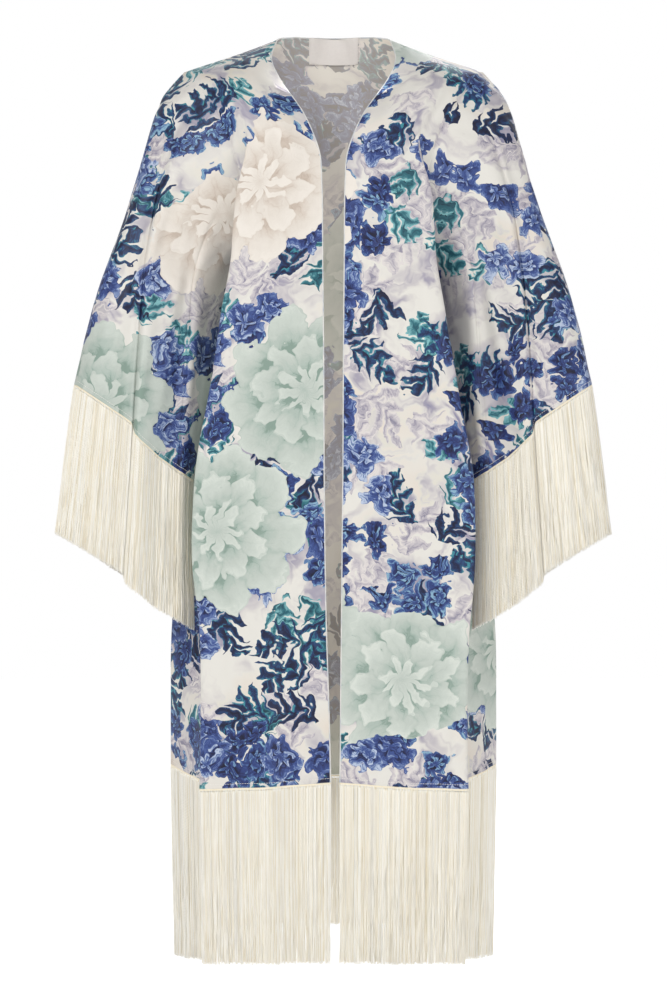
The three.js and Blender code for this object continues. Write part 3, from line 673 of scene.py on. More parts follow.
LEFT_FRONT_CREASES = [
    (0.048, -0.03, 0.050, 0.28, 0.012, 1.9),
    (0.072, -0.03, 0.078, 0.40, 0.013, -2.4),
    (0.102, -0.03, 0.098, 0.24, 0.012, 1.7),
    (0.134, -0.02, 0.124, 0.52, 0.016, -2.0),
    (0.160, -0.03, 0.156, 0.30, 0.012, 1.8),
    (0.110, 0.46, 0.088, 0.90, 0.016, -2.0),
    (0.136, 0.58, 0.124, 0.84, 0.012, 1.7),
    (0.050, 0.76, 0.030, 0.50, 0.017, 1.5),
    (0.108, 1.00, 0.088, 0.82, 0.014, -2.2),
    (0.206, -0.02, 0.198, 0.36, 0.014, -2.3),
    (0.256, -0.03, 0.262, 0.44, 0.015, 2.2),
    (0.288, -0.03, 0.284, 0.38, 0.013, -1.9),
]
SEAM_FADE = 0.03
SEAM_ROLL = 0.9 * MM
SEAM_ROLL_REACH = 0.004


def draped(places, folds, seed, seams, closed=False):
    """Lays the listed folds and the slight ripple on a grid, and rolls its sewn edges in a little."""
    cut = cut_places(places, closed)[:, : places.shape[1]]
    lift = (crease(cut, folds) + ripple(cut, seed)) * from_edges(places, seams, SEAM_FADE, closed)
    lift -= SEAM_ROLL * (1 - from_edges(places, seams, SEAM_ROLL_REACH, closed))
    return places + facing_out(places, closed) * lift[:, :, None]


front_cloths = {}
for side_name, hand, folds, seed, print_at in (
    ("right", -1, RIGHT_FRONT_CREASES, 1.0, (0.0, 0.0)),
    ("left", 1, LEFT_FRONT_CREASES, 2.6, (3.1, 1.7)),
):
    front = draped(front_places(hand), folds, seed, ("end", "top"))
    # Every second corner of the shoulder seam lies between its neighbours, as the back's coarser seam does
    front[-1, 1::2] = (front[-1, :-1:2] + front[-1, 2::2]) / 2
    front_cloths[side_name] = front
    panel = sewn_cloth("front_" + side_name + "_cloth", front, [satin_face, satin_reverse],
                       CLOTH_THICKNESS, print_at)
    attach(panel, "root")
    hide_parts("front_" + side_name)

# Back
# The back is one wide panel of the same satin, sewn to both fronts at the shoulders and the sides. It falls
# from the shoulder blades in soft upright folds.
BACK_SPANS = 3
COLUMNS_PER_BACK_SPAN = 20
NAPE_SHARE = 0.3
BLADE_SHARE = 0.7
NAPE_RISE = 9
NAPE_RISE_STATIONS = 2
BACK_MEASURES = "centreY centreZ napeX napeY bladeX bladeY".split()
BACK_ROWS = [
    [130, -1051, 104, 127, 207, 95],
    [130, -950, 104, 127, 207, 95],
    [129, -840, 103, 126, 207, 94],
    [128, -735, 102, 125, 203, 92],
    [127, -620, 98, 123, 189, 89],
    [125, -505, 94, 121, 170, 86],
    [123, -405, 90, 118, 152, 81],
    [122, -331, 87, 116, 143, 70],
    [121, -272, 85, 114, 140, 76],
    [119, -215, 83, 111, 140, 77],
    [114, -160, 82, 105, 142, 73],
    [104, -108, 81, 93, 144, 64],
    [88, -62, 81, 72, 146, 48],
    [74, -24, 81, 45, 147, 28],
    [63, 8, 80, 14, 145, 6],
]
BACK_ARMHOLE = [
    [141, 14, -331], [144, 40, -285], [151, 54, -235], [160, 59, -182],
    [172, 55, -134], [187, 42, -95], [201, 24, -64], [211, 0, -48],
]
BACK_FOLDS = [
    (-2.35, 0.28, 13, 6.0), (-1.45, 0.3, 10, 7.5), (-0.5, 0.34, 8, 8.5),
    (0.42, 0.3, 10, 8.0), (1.3, 0.34, 12, 7.0), (2.3, 0.28, 10, 6.5),
]
SHOULDER_BLEND = 1.0


def back_places():
    """The outer face of the back, row by row from the hem up and from the wearer's right to the left."""
    m = dict(zip(BACK_MEASURES, through(BACK_ROWS, stations).T))
    half_columns = BACK_SPANS * COLUMNS_PER_BACK_SPAN
    across = np.arange(-half_columns, half_columns + 1) / COLUMNS_PER_BACK_SPAN
    side = side_line(BACK_ARMHOLE)
    rise = NAPE_RISE * ease(1 - (SHOULDER - stations) / NAPE_RISE_STATIONS)
    drop = side[:, 2] - m["centreZ"]
    nape = np.stack([m["napeX"], m["napeY"], m["centreZ"] + drop * NAPE_SHARE + rise], axis=1)
    blade = np.stack([m["bladeX"], m["bladeY"], m["centreZ"] + drop * BLADE_SHARE], axis=1)
    centre = np.stack([0 * drop, m["centreY"], m["centreZ"]], axis=1)
    mirror = np.array([-1, 1, 1])
    knots = [side * mirror, blade * mirror, nape * mirror, centre, nape, blade, side]
    places = through(knots, across + BACK_SPANS).transpose(1, 0, 2)
    clear_of_seam = ease((BACK_SPANS - np.abs(across)) / FOLD_FREE_SEAM)
    places[:, :, 1] -= fold_depths(BACK_FOLDS, across) * clear_of_seam
    # The top row follows the fronts' shoulder seams, which the CAD part's back shares
    on_shoulder = FRONT_SPANS * np.clip(np.abs(across) - 1, 0, None) / (BACK_SPANS - 1)
    seam = through([knots[-1] for knots in front_knots()], on_shoulder)
    seam[:, 0] *= np.sign(across)
    miss = (seam - places[-1]) * (np.abs(across) >= 1)[:, None]
    places += ease(1 - (SHOULDER - stations) / SHOULDER_BLEND)[:, None, None] * miss[None]
    return places * MM


# From the wearer's right side seam and from the hem, in metres
BACK_CREASES = [
    (0.05, -0.03, 0.06, 0.52, 0.014, 2.4),
    (0.095, -0.03, 0.09, 0.40, 0.013, -2.6),
    (0.145, -0.03, 0.15, 0.62, 0.016, 2.2),
    (0.19, -0.03, 0.185, 0.46, 0.013, -2.8),
    (0.235, -0.03, 0.238, 0.66, 0.015, 2.0),
    (0.285, -0.03, 0.29, 0.52, 0.014, -2.2),
    (0.335, -0.03, 0.33, 0.60, 0.015, 2.5),
    (0.385, -0.03, 0.39, 0.44, 0.013, -2.4),
    (0.43, -0.03, 0.425, 0.56, 0.015, 2.1),
    (0.475, -0.03, 0.48, 0.40, 0.013, -2.2),
    (0.10, 0.60, 0.06, 0.98, 0.018, -2.6),
    (0.38, 0.62, 0.41, 0.98, 0.018, -2.4),
    (0.20, 0.74, 0.17, 1.02, 0.016, 1.8),
    (0.29, 0.76, 0.31, 1.00, 0.016, 1.6),
    (0.245, 0.55, 0.235, 0.84, 0.017, -1.8),
]
SEAM_MEETING = 0.012
back_cloth = draped(back_places(), BACK_CREASES, 4.3, ("start", "end"))
# The back is drawn to the fronts along their shared seams, so that no gap opens there
half_back = BACK_SPANS * COLUMNS_PER_BACK_SPAN
shoulder_columns = (BACK_SPANS - 1) * COLUMNS_PER_BACK_SPAN
seam_rows = len(below) + 1
for side_name, first, step in (("right", 0, 1), ("left", 2 * half_back, -1)):
    front = front_cloths[side_name]
    near_top = ease(1 - from_edges(back_cloth, ("top",), 2 * SEAM_MEETING))
    near_side = ease(1 - from_edges(back_cloth, ("start" if step > 0 else "end",), 2 * SEAM_MEETING))
    columns = first + step * np.arange(shoulder_columns + 1)
    meeting = front[-1, :: -front_columns // shoulder_columns]
    miss = np.zeros(back_cloth.shape[1:])
    miss[columns] = meeting - back_cloth[-1, columns]
    back_cloth += near_top[:, :, None] * miss[None]
    miss = np.zeros((len(back_cloth), 3))
    miss[:seam_rows] = front[:seam_rows, -1] - back_cloth[:seam_rows, first]
    back_cloth += near_side[:, :, None] * miss[:, None]
back_panel = sewn_cloth("back_cloth", back_cloth, [satin_face, satin_reverse], CLOTH_THICKNESS, (7.3, 4.1))
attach(back_panel, "root")
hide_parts("back")

# Sleeves
# Each sleeve is one wide piece of satin, closed by a seam underneath and sewn into the armhole. It falls open
# over the arm in two long folds and ends in a straight cuff.
SLEEVE_RINGS_PER_ROW = 15
LOWER_FULLNESS = 0.8
UPPER_FULLNESS = 1.05
SLEEVE_FOLD_WIDTH = 0.08
SLEEVE_FOLD_STEP = 0.055
ARMHOLE_FADE = 3.5
SLEEVE_ROWS = [
    [211, 0, -48, 141, 14, -331, 76, 0.72, 0, 0.36, 0],
    [236, -2, -76, 143, 12, -345, 72, 0.76, 2, 0.36, 1],
    [252, -6, -113, 146, 8, -362, 67, 0.79, 4, 0.36, 2],
    [273, -13, -189, 153, -2, -400, 60, 0.78, 6, 0.34, 5],
    [298, -23, -268, 161, -15, -450, 54, 0.72, 7, 0.28, 7],
    [325, -33, -346, 171, -30, -510, 49, 0.63, 8, 0.22, 8],
    [344, -42, -420, 183, -44, -570, 45, 0.56, 9, 0.17, 8],
    [360, -50, -491, 193, -55, -624, 41, 0.5, 9, 0.13, 6],
]


# The two long folds are pressed to a thin line, with columns closer together there. Each row holds its place
# off the fold, width and rise in millimetres.
FOLD_LINE = ((0, 1.9, -5.5), (-7, 5, 1.4), (7, 5, 1.4))
FOLD_LINE_SHARES = (0.85, 0.3)
FOLD_LINE_FULL_RISE = 6
CLOSE_COLUMNS = 16
CLOSE_SHARE = 0.75


def fold_columns(half):
    """Column places round a sleeve, up its front half and down its back half, closer at the folds."""
    k = np.arange(half + 1, dtype=float)
    for middle in (half / 3, 2 * half / 3):
        away = np.clip((k - middle) / CLOSE_COLUMNS, -0.5, 0.5)
        k -= CLOSE_SHARE * CLOSE_COLUMNS / (2 * math.pi) * np.sin(2 * math.pi * away)
    return np.concatenate([k, k[-2:0:-1]])


def sleeve_places(hand, armhole):
    """The outer face of a sleeve, ring by ring from the armhole to the cuff, round from its lower outline."""
    last = len(SLEEVE_ROWS) - 1
    place = np.arange(last * SLEEVE_RINGS_PER_ROW + 1) / SLEEVE_RINGS_PER_ROW
    sections = through(SLEEVE_ROWS, place)
    half = len(armhole) // 2
    k = fold_columns(half)
    way = np.where(np.arange(2 * half) <= half, -1.0, 1.0)
    rings = []
    for section in sections:
        top, low = section[0:3], section[3:6]
        depth, outer, outer_rise, inner, inner_rise = section[6:]
        share = through([0, inner, outer, 1], 3 * k / half)
        round_form = np.sqrt(np.maximum(4 * share * (1 - share), 0))
        fullness = LOWER_FULLNESS + (UPPER_FULLNESS - LOWER_FULLNESS) * share
        folds = np.zeros(len(share))
        for middle, rise in ((outer, outer_rise), (inner, inner_rise)):
            for step, sign in ((-SLEEVE_FOLD_STEP, 1), (SLEEVE_FOLD_STEP, -1)):
                folds += sign * rise * np.exp(-(((share - middle - step) / SLEEVE_FOLD_WIDTH) ** 2))
        for middle, strength in ((outer, FOLD_LINE_SHARES[0]), (inner, FOLD_LINE_SHARES[1])):
            aside = (share - middle) * np.linalg.norm(top - low)
            strength *= min(outer_rise / FOLD_LINE_FULL_RISE, 1)
            for off, width, rise in FOLD_LINE:
                folds += strength * rise * np.exp(-(((aside - off) / width) ** 2))
        ring = low + (top - low) * share[:, None]
        ring[:, 1] += way * (depth * round_form * fullness + folds * round_form)
        ring[:, 0] *= hand
        rings.append(ring)
    rings = np.array(rings) * MM
    still_armhole = 1 - ease(place / ARMHOLE_FADE)
    return rings + (armhole - rings[0])[None] * still_armhole[:, None, None]


# From the lower outline round the front, and from the armhole down, in metres
RIGHT_SLEEVE_CREASES = [
    (0.225, 0.02, 0.175, 0.30, 0.013, 1.9),
    (0.195, 0.06, 0.150, 0.40, 0.012, -2.2),
    (0.125, 0.12, 0.098, 0.50, 0.013, 2.0),
    (0.085, 0.14, 0.070, 0.48, 0.011, -1.9),
    (0.245, 0.16, 0.185, 0.50, 0.012, -1.6),
    (0.42, 0.05, 0.36, 0.48, 0.015, -2.4),
    (0.47, 0.05, 0.42, 0.46, 0.014, 2.2),
    (0.52, 0.08, 0.47, 0.50, 0.015, -2.0),
    (0.38, 0.12, 0.33, 0.44, 0.013, 1.8),
]
LEFT_SLEEVE_CREASES = [
    (0.215, 0.03, 0.168, 0.34, 0.013, 1.8),
    (0.240, 0.05, 0.190, 0.44, 0.013, -2.0),
    (0.130, 0.10, 0.105, 0.46, 0.012, 2.1),
    (0.092, 0.16, 0.074, 0.50, 0.012, -1.8),
    (0.41, 0.06, 0.37, 0.46, 0.014, 2.3),
    (0.455, 0.04, 0.41, 0.50, 0.015, -2.3),
    (0.51, 0.06, 0.455, 0.42, 0.014, 2.0),
    (0.36, 0.10, 0.32, 0.50, 0.013, -1.7),
]
# Where the outer fold ends at the cuff, its edge is drawn up and the inner fold laps over it in a small step
CUFF_STEP = 12 * MM
CUFF_SAG = 5 * MM
CUFF_STEP_AT = 0.5
CUFF_STEP_WIDTH = 0.035
CUFF_STEP_REACH = 0.10
CUFF_STEP_BEHIND = 0.3


def stepped_cuff(sleeve):
    """Lifts the cuff's edge outside the outer fold and lets it sag a little inside it."""
    half = sleeve.shape[1] // 2
    k = fold_columns(half)
    share = through([0, SLEEVE_ROWS[-1][9], SLEEVE_ROWS[-1][7], 1], 3 * k / half)
    outside = ease((share - CUFF_STEP_AT) / CUFF_STEP_WIDTH + 0.5)
    lift = outside * CUFF_STEP * np.clip((1 - share) / (1 - CUFF_STEP_AT), 0, 1) ** 0.8
    lift -= (1 - outside) * CUFF_SAG * np.sin(math.pi * np.clip(share / CUFF_STEP_AT, 0, 1))
    lift *= np.where(np.arange(2 * half) <= half, 1.0, CUFF_STEP_BEHIND)
    near_cuff = 1 - from_edges(sleeve, ("top",), CUFF_STEP_REACH, closed=True)
    sleeve[:, :, 2] += near_cuff * lift[None]
    return sleeve


# A sleeve is laid flat in three passes, coarse to fine: every so many corners, and the number of rounds
LAID_FLAT = ((21, 200), (7, 500), (3, 160))
PULL_SHARE = 0.25
FIRST_SPREAD = 1.45
PRINT_JOINED_FROM = 0.4


def laid_flat(sleeve, front_cut, hand):
    """A sleeve spread out for the print, with its lengths kept as well as they can be. The upper armhole lies
    along the front's own, so the print runs on there without a break."""
    half = sleeve.shape[1] // 2
    ring = np.concatenate([sleeve, sleeve[:, :1]], axis=1)
    flat = np.stack([hand * ring[:, :, 0], ring[:, :, 2]], axis=2)
    lean = np.gradient(flat[:, half], axis=0)
    lean /= np.linalg.norm(lean, axis=1, keepdims=True)
    behind = flat[:, half + 1 :] - flat[:, half : half + 1]
    along = np.einsum("ijk,ik->ij", behind, lean)[:, :, None] * lean[:, None]
    flat[:, half + 1 :] = flat[:, half : half + 1] + 2 * along - behind
    # It starts too wide and is drawn in, so that no part of it folds over
    joined = front_cut[len(below) :, front_columns]
    flat = joined[-1] + FIRST_SPREAD * (flat - flat[0, half])
    cut = cut_places(sleeve, closed=True)
    for step, rounds in LAID_FLAT:
        start = flat[::step, ::step]
        small = start.copy()
        rows, columns = small.shape[:2]
        corner = ring[::step, ::step]
        first_held = math.ceil(PRINT_JOINED_FROM * half / step)
        held = joined[::step][first_held:]
        links = []
        for down, side in ((0, 1), (1, 0), (1, 1), (1, -1)):
            one = (slice(0, rows - down), slice(max(0, -side), columns - max(0, side)))
            other = (slice(down, rows), slice(max(0, side), columns + min(0, side)))
            rest = np.linalg.norm(corner[other] - corner[one], axis=2)
            if down == 0 or side == 0:
                lengths = cut[::step, ::step, 0 if side else 1]
                rest = np.abs(lengths[other] - lengths[one])
            links.append((one, other, rest))
        for _ in range(rounds):
            pull = np.zeros(small.shape)
            for one, other, rest in links:
                apart = small[other] - small[one]
                length = np.maximum(np.linalg.norm(apart, axis=2), 1e-6)
                shift = apart * (0.5 - 0.5 * rest / length)[:, :, None]
                pull[one] += shift
                pull[other] -= shift
            small += PULL_SHARE * pull
            small[0, first_held : first_held + len(held)] = held
        moved = through(small - start, np.arange(flat.shape[0]) / step).swapaxes(0, 1)
        flat = flat + through(moved, np.arange(flat.shape[1]) / step).swapaxes(0, 1)
    return flat


sleeve_cloths = {}
for side_name, hand, folds, seed, print_at in (
    ("right", -1, RIGHT_SLEEVE_CREASES, 5.9, (0.0, 0.0)),
    ("left", 1, LEFT_SLEEVE_CREASES, 8.1, (3.1, 1.7)),
):
    up_front = front_cloths[side_name][len(below):, front_columns]
    down_back = back_cloth[len(below):, 0 if hand < 0 else -1][::-1]
    sleeve = sleeve_places(hand, np.concatenate([up_front, down_back[1:-1]]))
    sleeve = draped(sleeve, folds, seed, ("bottom",), closed=True)
    sleeve[0] = np.concatenate([up_front, down_back[1:-1]])
    sleeve = stepped_cuff(sleeve)
    sleeve_cloths[side_name] = sleeve
    spread = laid_flat(sleeve, cut_places(front_cloths[side_name]), hand)
    tube = sewn_cloth("sleeve_" + side_name + "_cloth", sleeve, [satin_face, satin_reverse], CLOTH_THICKNESS,
                      print_at, closed=True, spread=spread)
    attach(tube, "root")
    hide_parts("sleeve_" + side_name)

# Label
# A blank woven polyester label, folded under at both short ends and sewn by them to the inside of the back,
# just under the neck edge. It carries nothing.
LABEL_WIDTH = 0.070
LABEL_HEIGHT = 0.035
LABEL_ABOVE = 1.2 * MM
LABEL_THICKNESS = 0.7 * MM
LABEL_GAP = 1.4 * MM
LABEL_BULGE = 1.8 * MM
LABEL_BULGE_FROM = 0.25
LABEL_COLUMNS = 29
LABEL_ROWS = 15
NEAREST_CORNERS = 6
label_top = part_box("label")[1].z + LABEL_ABOVE


def woven_label():
    """Undyed polyester ribbon, close and matt, with a fine rib that is drawn three times as coarse."""
    material, tree, surface = new_material("blank woven label", {"Roughness": 0.7})
    spread = add(tree, "ShaderNodeUVMap", uv_map="cut")
    rib = add(tree, "ShaderNodeTexWave", {"Vector": spread.outputs[0], "Scale": 320.0, "Distortion": 0.3},
              bands_direction="Y")
    tone = add(tree, "ShaderNodeTexNoise", {"Vector": spread.outputs[0], "Scale": 260.0, "Detail": 2.0})
    both = maths(tree, "MULTIPLY", rib.outputs["Fac"], tone.outputs[0])
    paint = colour_steps(tree, both, [(0.0, "#CEC8C3"), (0.5, "#D7D1CC")])
    tree.links.new(paint, surface.inputs["Base Color"])
    raise_surface(tree, surface, rib.outputs["Fac"], 0.25, 0.3 * MM)
    return material


def surface_depth(cloth, x, z):
    """How far back a cloth lies at a place seen from the front, from its nearest corners."""
    flat = cloth.reshape(-1, 3)
    distance = (flat[:, 0] - x) ** 2 + (flat[:, 2] - z) ** 2
    near = np.argsort(distance)[:NEAREST_CORNERS]
    weight = 1 / (distance[near] + 1e-8)
    return float((flat[near, 1] * weight).sum() / weight.sum())


upper_back = back_cloth[len(stations) - 4 * ROWS_PER_STATION_ABOVE:]
label_places = np.zeros((LABEL_ROWS, LABEL_COLUMNS, 3))
for row, down in enumerate(np.linspace(0, 1, LABEL_ROWS)):
    for column, side in enumerate(np.linspace(-1, 1, LABEL_COLUMNS)):
        x = side * LABEL_WIDTH / 2
        z = label_top - down * LABEL_HEIGHT
        stands_off = LABEL_GAP + LABEL_BULGE * ease((1 - abs(side)) / LABEL_BULGE_FROM)
        label_places[row, column] = (x, surface_depth(upper_back, x, z) - CLOTH_THICKNESS - stands_off, z)
label = sewn_cloth("label_ribbon", label_places, [woven_label()], LABEL_THICKNESS,
                   out=np.broadcast_to([0.0, -1.0, 0.0], label_places.shape))
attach(label, "root")
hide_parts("label")

# Hem fringe
# A cream rayon fringe: thousands of twisted strands hang from a narrow tape that is sewn under the hem. They
# leave the tape in small bundles and spread out below. It runs from one front edge round to the other.
HEADER_HEIGHT = 2.6 * MM
HEADER_THICKNESS = 0.7 * MM
HEADER_PROUD = 0.25 * MM
HEADER_FROM = 0.3 * MM
BUNDLE_PITCH = 2.1 * MM
BUNDLE_FROM = 2.2 * MM
BUNDLE_LENGTH = 4.2 * MM
BUNDLE_RADIUS = 0.62 * MM
BUNDLE_SIDES = 6
STRANDS_FROM = 4.8 * MM
STRAND_RADIUS = 0.46 * MM
STRAND_BENDS = 9
STRAND_SIDES = 3
STRAND_OWN_SWAY = 1.6 * MM
STRAND_SHARED_SWAY = 1.4 * MM
STRAND_DEPTH = 0.5 * MM
STRAND_BELLY = 0.05
SHORTEST_STRAND = 0.986
LENGTH_SPREAD = 0.022
SWAY_GROWTH = 0.8
OWN_SWAY_APART = 90.0
OWN_SWAY_BENDS = 4.5
SHARED_SWAY_APART = 34.0
SHARED_SWAY_BENDS = 0.9
FRINGE_DRAW_IN = 0.975
FRINGE_END_FRONT = -1.287
FRINGE_END_SIDE = -1.297
FRINGE_END_BACK = -1.268
HEM_STRANDS = 3700


def fringe_yarn():
    """Loosely twisted rayon yarn with a slight shine. Strands differ in tone, and the twist shows coarse."""
    material, tree, surface = new_material(
        "cream rayon yarn", {"Roughness": 0.5, "Specular IOR Level": 0.4, "Sheen Weight": 0.15})
    tone = add(tree, "ShaderNodeAttribute", attribute_name="tone")
    place = add(tree, "ShaderNodeTexCoord")
    streak = add(tree, "ShaderNodeTexNoise",
                 {"Vector": place.outputs["Object"], "Scale": 55.0, "Detail": 1.0})
    known = {"tone": tone.outputs["Fac"], "streak": streak.outputs[0]}
    work_out(tree, known, [("streak_small", "MULTIPLY_ADD", "streak", 0.2, -0.1),
                           ("shade", "ADD", "tone", "streak_small")])
    paint = colour_steps(tree, known["shade"],
                         [(0.0, "#EBE0C7"), (0.2, "#F4EDDB"), (0.5, "#F8F3E7"), (1.0, "#FCFAF3")])
    tree.links.new(paint, surface.inputs["Base Color"])
    twist = add(tree, "ShaderNodeTexWave",
                {"Vector": place.outputs["Object"], "Scale": 160.0, "Distortion": 0.5, "Detail": 0.0},
                bands_direction="DIAGONAL")
    raise_surface(tree, surface, twist.outputs["Fac"], 0.35, 0.4 * MM)
    return material


yarn = fringe_yarn()


def strand_tree():
    """Hangs strands from a line, whose corners carry the drop to a strand's end and the way out."""
    tree, given, result = start_tree(
        "GeometryNodeTree", "hanging strands",
        [("Geometry", "Geometry", None), ("Strands", "Int", 100), ("Radius", "Float", 0.0006),
         ("Bends", "Int", 8), ("Sides", "Int", 4), ("Own Sway", "Float", 0.002),
         ("Shared Sway", "Float", 0.003), ("Depth", "Float", 0.0011), ("Seed", "Int", 0),
         ("Material", "Material", None)],
        [("Geometry", "Geometry")],
    )
    line = add(tree, "GeometryNodeMeshToCurve", {"Mesh": given.outputs["Geometry"]})
    spaced = add(tree, "GeometryNodeResampleCurve",
                 {"Curve": line.outputs[0], "Count": given.outputs["Strands"]}, mode="COUNT")
    place = add(tree, "GeometryNodeInputPosition")
    geometry = add(tree, "GeometryNodeStoreNamedAttribute",
                   {"Geometry": spaced.outputs[0], "Name": "root", "Value": place.outputs[0]},
                   data_type="FLOAT_VECTOR", domain="POINT").outputs[0]
    for name, step in (("tone", 0), ("layer", 1)):
        seed = add(tree, "FunctionNodeIntegerMath", {0: given.outputs["Seed"], 1: step}, operation="ADD")
        chance = add(tree, "FunctionNodeRandomValue", {"Seed": seed.outputs[0]}, data_type="FLOAT")
        geometry = add(tree, "GeometryNodeStoreNamedAttribute",
                       {"Geometry": geometry, "Name": name, "Value": chance.outputs[1]},
                       data_type="FLOAT", domain="POINT").outputs[0]
    straight = add(tree, "GeometryNodeCurvePrimitiveLine", {"End": (0, 0, -1)})
    bent = add(tree, "GeometryNodeResampleCurve",
               {"Curve": straight.outputs[0], "Count": given.outputs["Bends"]}, mode="COUNT")
    hung = add(tree, "GeometryNodeInstanceOnPoints", {"Points": geometry, "Instance": bent.outputs[0]})
    real = add(tree, "GeometryNodeRealizeInstances", {"Geometry": hung.outputs[0]})
    read = {name: add(tree, "GeometryNodeInputNamedAttribute", {"Name": name}, data_type=kind).outputs[0]
            for name, kind in (("root", "FLOAT_VECTOR"), ("drop", "FLOAT_VECTOR"), ("out", "FLOAT_VECTOR"),
                               ("down", "FLOAT_VECTOR"), ("tone", "FLOAT"), ("layer", "FLOAT"))}
    along = add(tree, "GeometryNodeSplineParameter").outputs["Factor"]
    known = {"along": along, "tone": read["tone"], "layer": read["layer"], "own": given.outputs["Own Sway"],
             "shared": given.outputs["Shared Sway"], "depth": given.outputs["Depth"]}
    work_out(tree, known, [
        ("grows", "POWER", "along", SWAY_GROWTH),
        ("own_reach", "MULTIPLY", "grows", "own"),
        ("shared_reach", "MULTIPLY", "grows", "shared"),
        ("twice_own", "MULTIPLY", "own_reach", 2.0),
        ("twice_shared", "MULTIPLY", "shared_reach", 2.0),
        ("layer_centred", "MULTIPLY_ADD", "layer", 2.0, -1.0),
        ("layer_depth", "MULTIPLY", "layer_centred", "depth"),
        ("length_change", "MULTIPLY_ADD", "tone", LENGTH_SPREAD, SHORTEST_STRAND),
        ("fall", "MULTIPLY", "along", "length_change"),
        ("rest", "SUBTRACT", 1.0, "along"),
        ("rest_sq", "MULTIPLY", "rest", "rest"),
        ("belly", "MULTIPLY", "rest_sq", "along"),
        ("belly_reach", "MULTIPLY", "belly", STRAND_BELLY),
        ("own_place", "MULTIPLY", "tone", OWN_SWAY_APART),
        ("own_along", "MULTIPLY", "along", OWN_SWAY_BENDS),
        ("shared_along", "MULTIPLY", "along", SHARED_SWAY_BENDS),
    ])
    own_at = add(tree, "ShaderNodeCombineXYZ", {0: known["own_place"], 1: known["own_along"], 2: 4.0})
    shared_step = add(tree, "ShaderNodeCombineXYZ", {2: known["shared_along"]})
    spread = vector(tree, "SCALE", read["root"], SHARED_SWAY_APART)
    shared_at = vector(tree, "ADD", spread, shared_step.outputs[0])
    parts = []
    for spot, reach in ((own_at.outputs[0], "twice_own"), (shared_at, "twice_shared")):
        noise = add(tree, "ShaderNodeTexNoise", {"Vector": spot, "Scale": 1.0, "Detail": 1.0})
        centred = vector(tree, "SUBTRACT", noise.outputs["Color"], (0.5, 0.5, 0.5))
        parts.append(vector(tree, "SCALE", centred, known[reach]))
    for way, reach in (("drop", "fall"), ("out", "layer_depth"), ("down", "belly_reach")):
        parts.append(vector(tree, "SCALE", read[way], known[reach]))
    where = read["root"]
    for part in parts:
        where = vector(tree, "ADD", where, part)
    moved = add(tree, "GeometryNodeSetPosition", {"Geometry": real.outputs[0], "Position": where})
    profile = add(tree, "GeometryNodeCurvePrimitiveCircle",
                  {"Resolution": given.outputs["Sides"], "Radius": given.outputs["Radius"]})
    tubes = add(tree, "GeometryNodeCurveToMesh",
                {"Curve": moved.outputs[0], "Profile Curve": profile.outputs[0], "Fill Caps": True})
    smooth = add(tree, "GeometryNodeSetShadeSmooth", {"Geometry": tubes.outputs[0]})
    dyed = add(tree, "GeometryNodeSetMaterial",
               {"Geometry": smooth.outputs[0], "Material": given.outputs["Material"]})
    whole = add(tree, "GeometryNodeRealizeInstances", {"Geometry": dyed.outputs[0]})
    tree.links.new(whole.outputs[0], result.inputs["Geometry"])
    return tree


strands = strand_tree()


def grown(name, mesh, tree, values):
    """Runs a node tree on a mesh with the named values, and gives its result as a plain mesh object."""
    carrier = bpy.data.objects.new(name + "_line", mesh)
    bpy.context.scene.collection.objects.link(carrier)
    modifier = carrier.modifiers.new("nodes", "NODES")
    modifier.node_group = tree
    for item in tree.interface.items_tree:
        if item.item_type == "SOCKET" and item.in_out == "INPUT" and item.name in values:
            modifier[item.identifier] = values[item.name]
    bpy.context.view_layer.update()
    made = bpy.data.meshes.new_from_object(carrier.evaluated_get(bpy.context.evaluated_depsgraph_get()))
    made.name = name
    bpy.data.objects.remove(carrier)
    piece = bpy.data.objects.new(name, made)
    bpy.context.scene.collection.objects.link(piece)
    return piece


def line_mesh(name, places, attributes, closed=False):
    """A line of edges through places, with a vector attribute for each name."""
    mesh = bpy.data.meshes.new(name)
    count = len(places)
    edges = [(k, (k + 1) % count) for k in range(count if closed else count - 1)]
    mesh.from_pydata(places.tolist(), edges, [])
    for title, values in attributes.items():
        stored = mesh.attributes.new(title, "FLOAT_VECTOR", "POINT")
        stored.data.foreach_set("vector", np.asarray(values, np.float32).ravel())
    return mesh


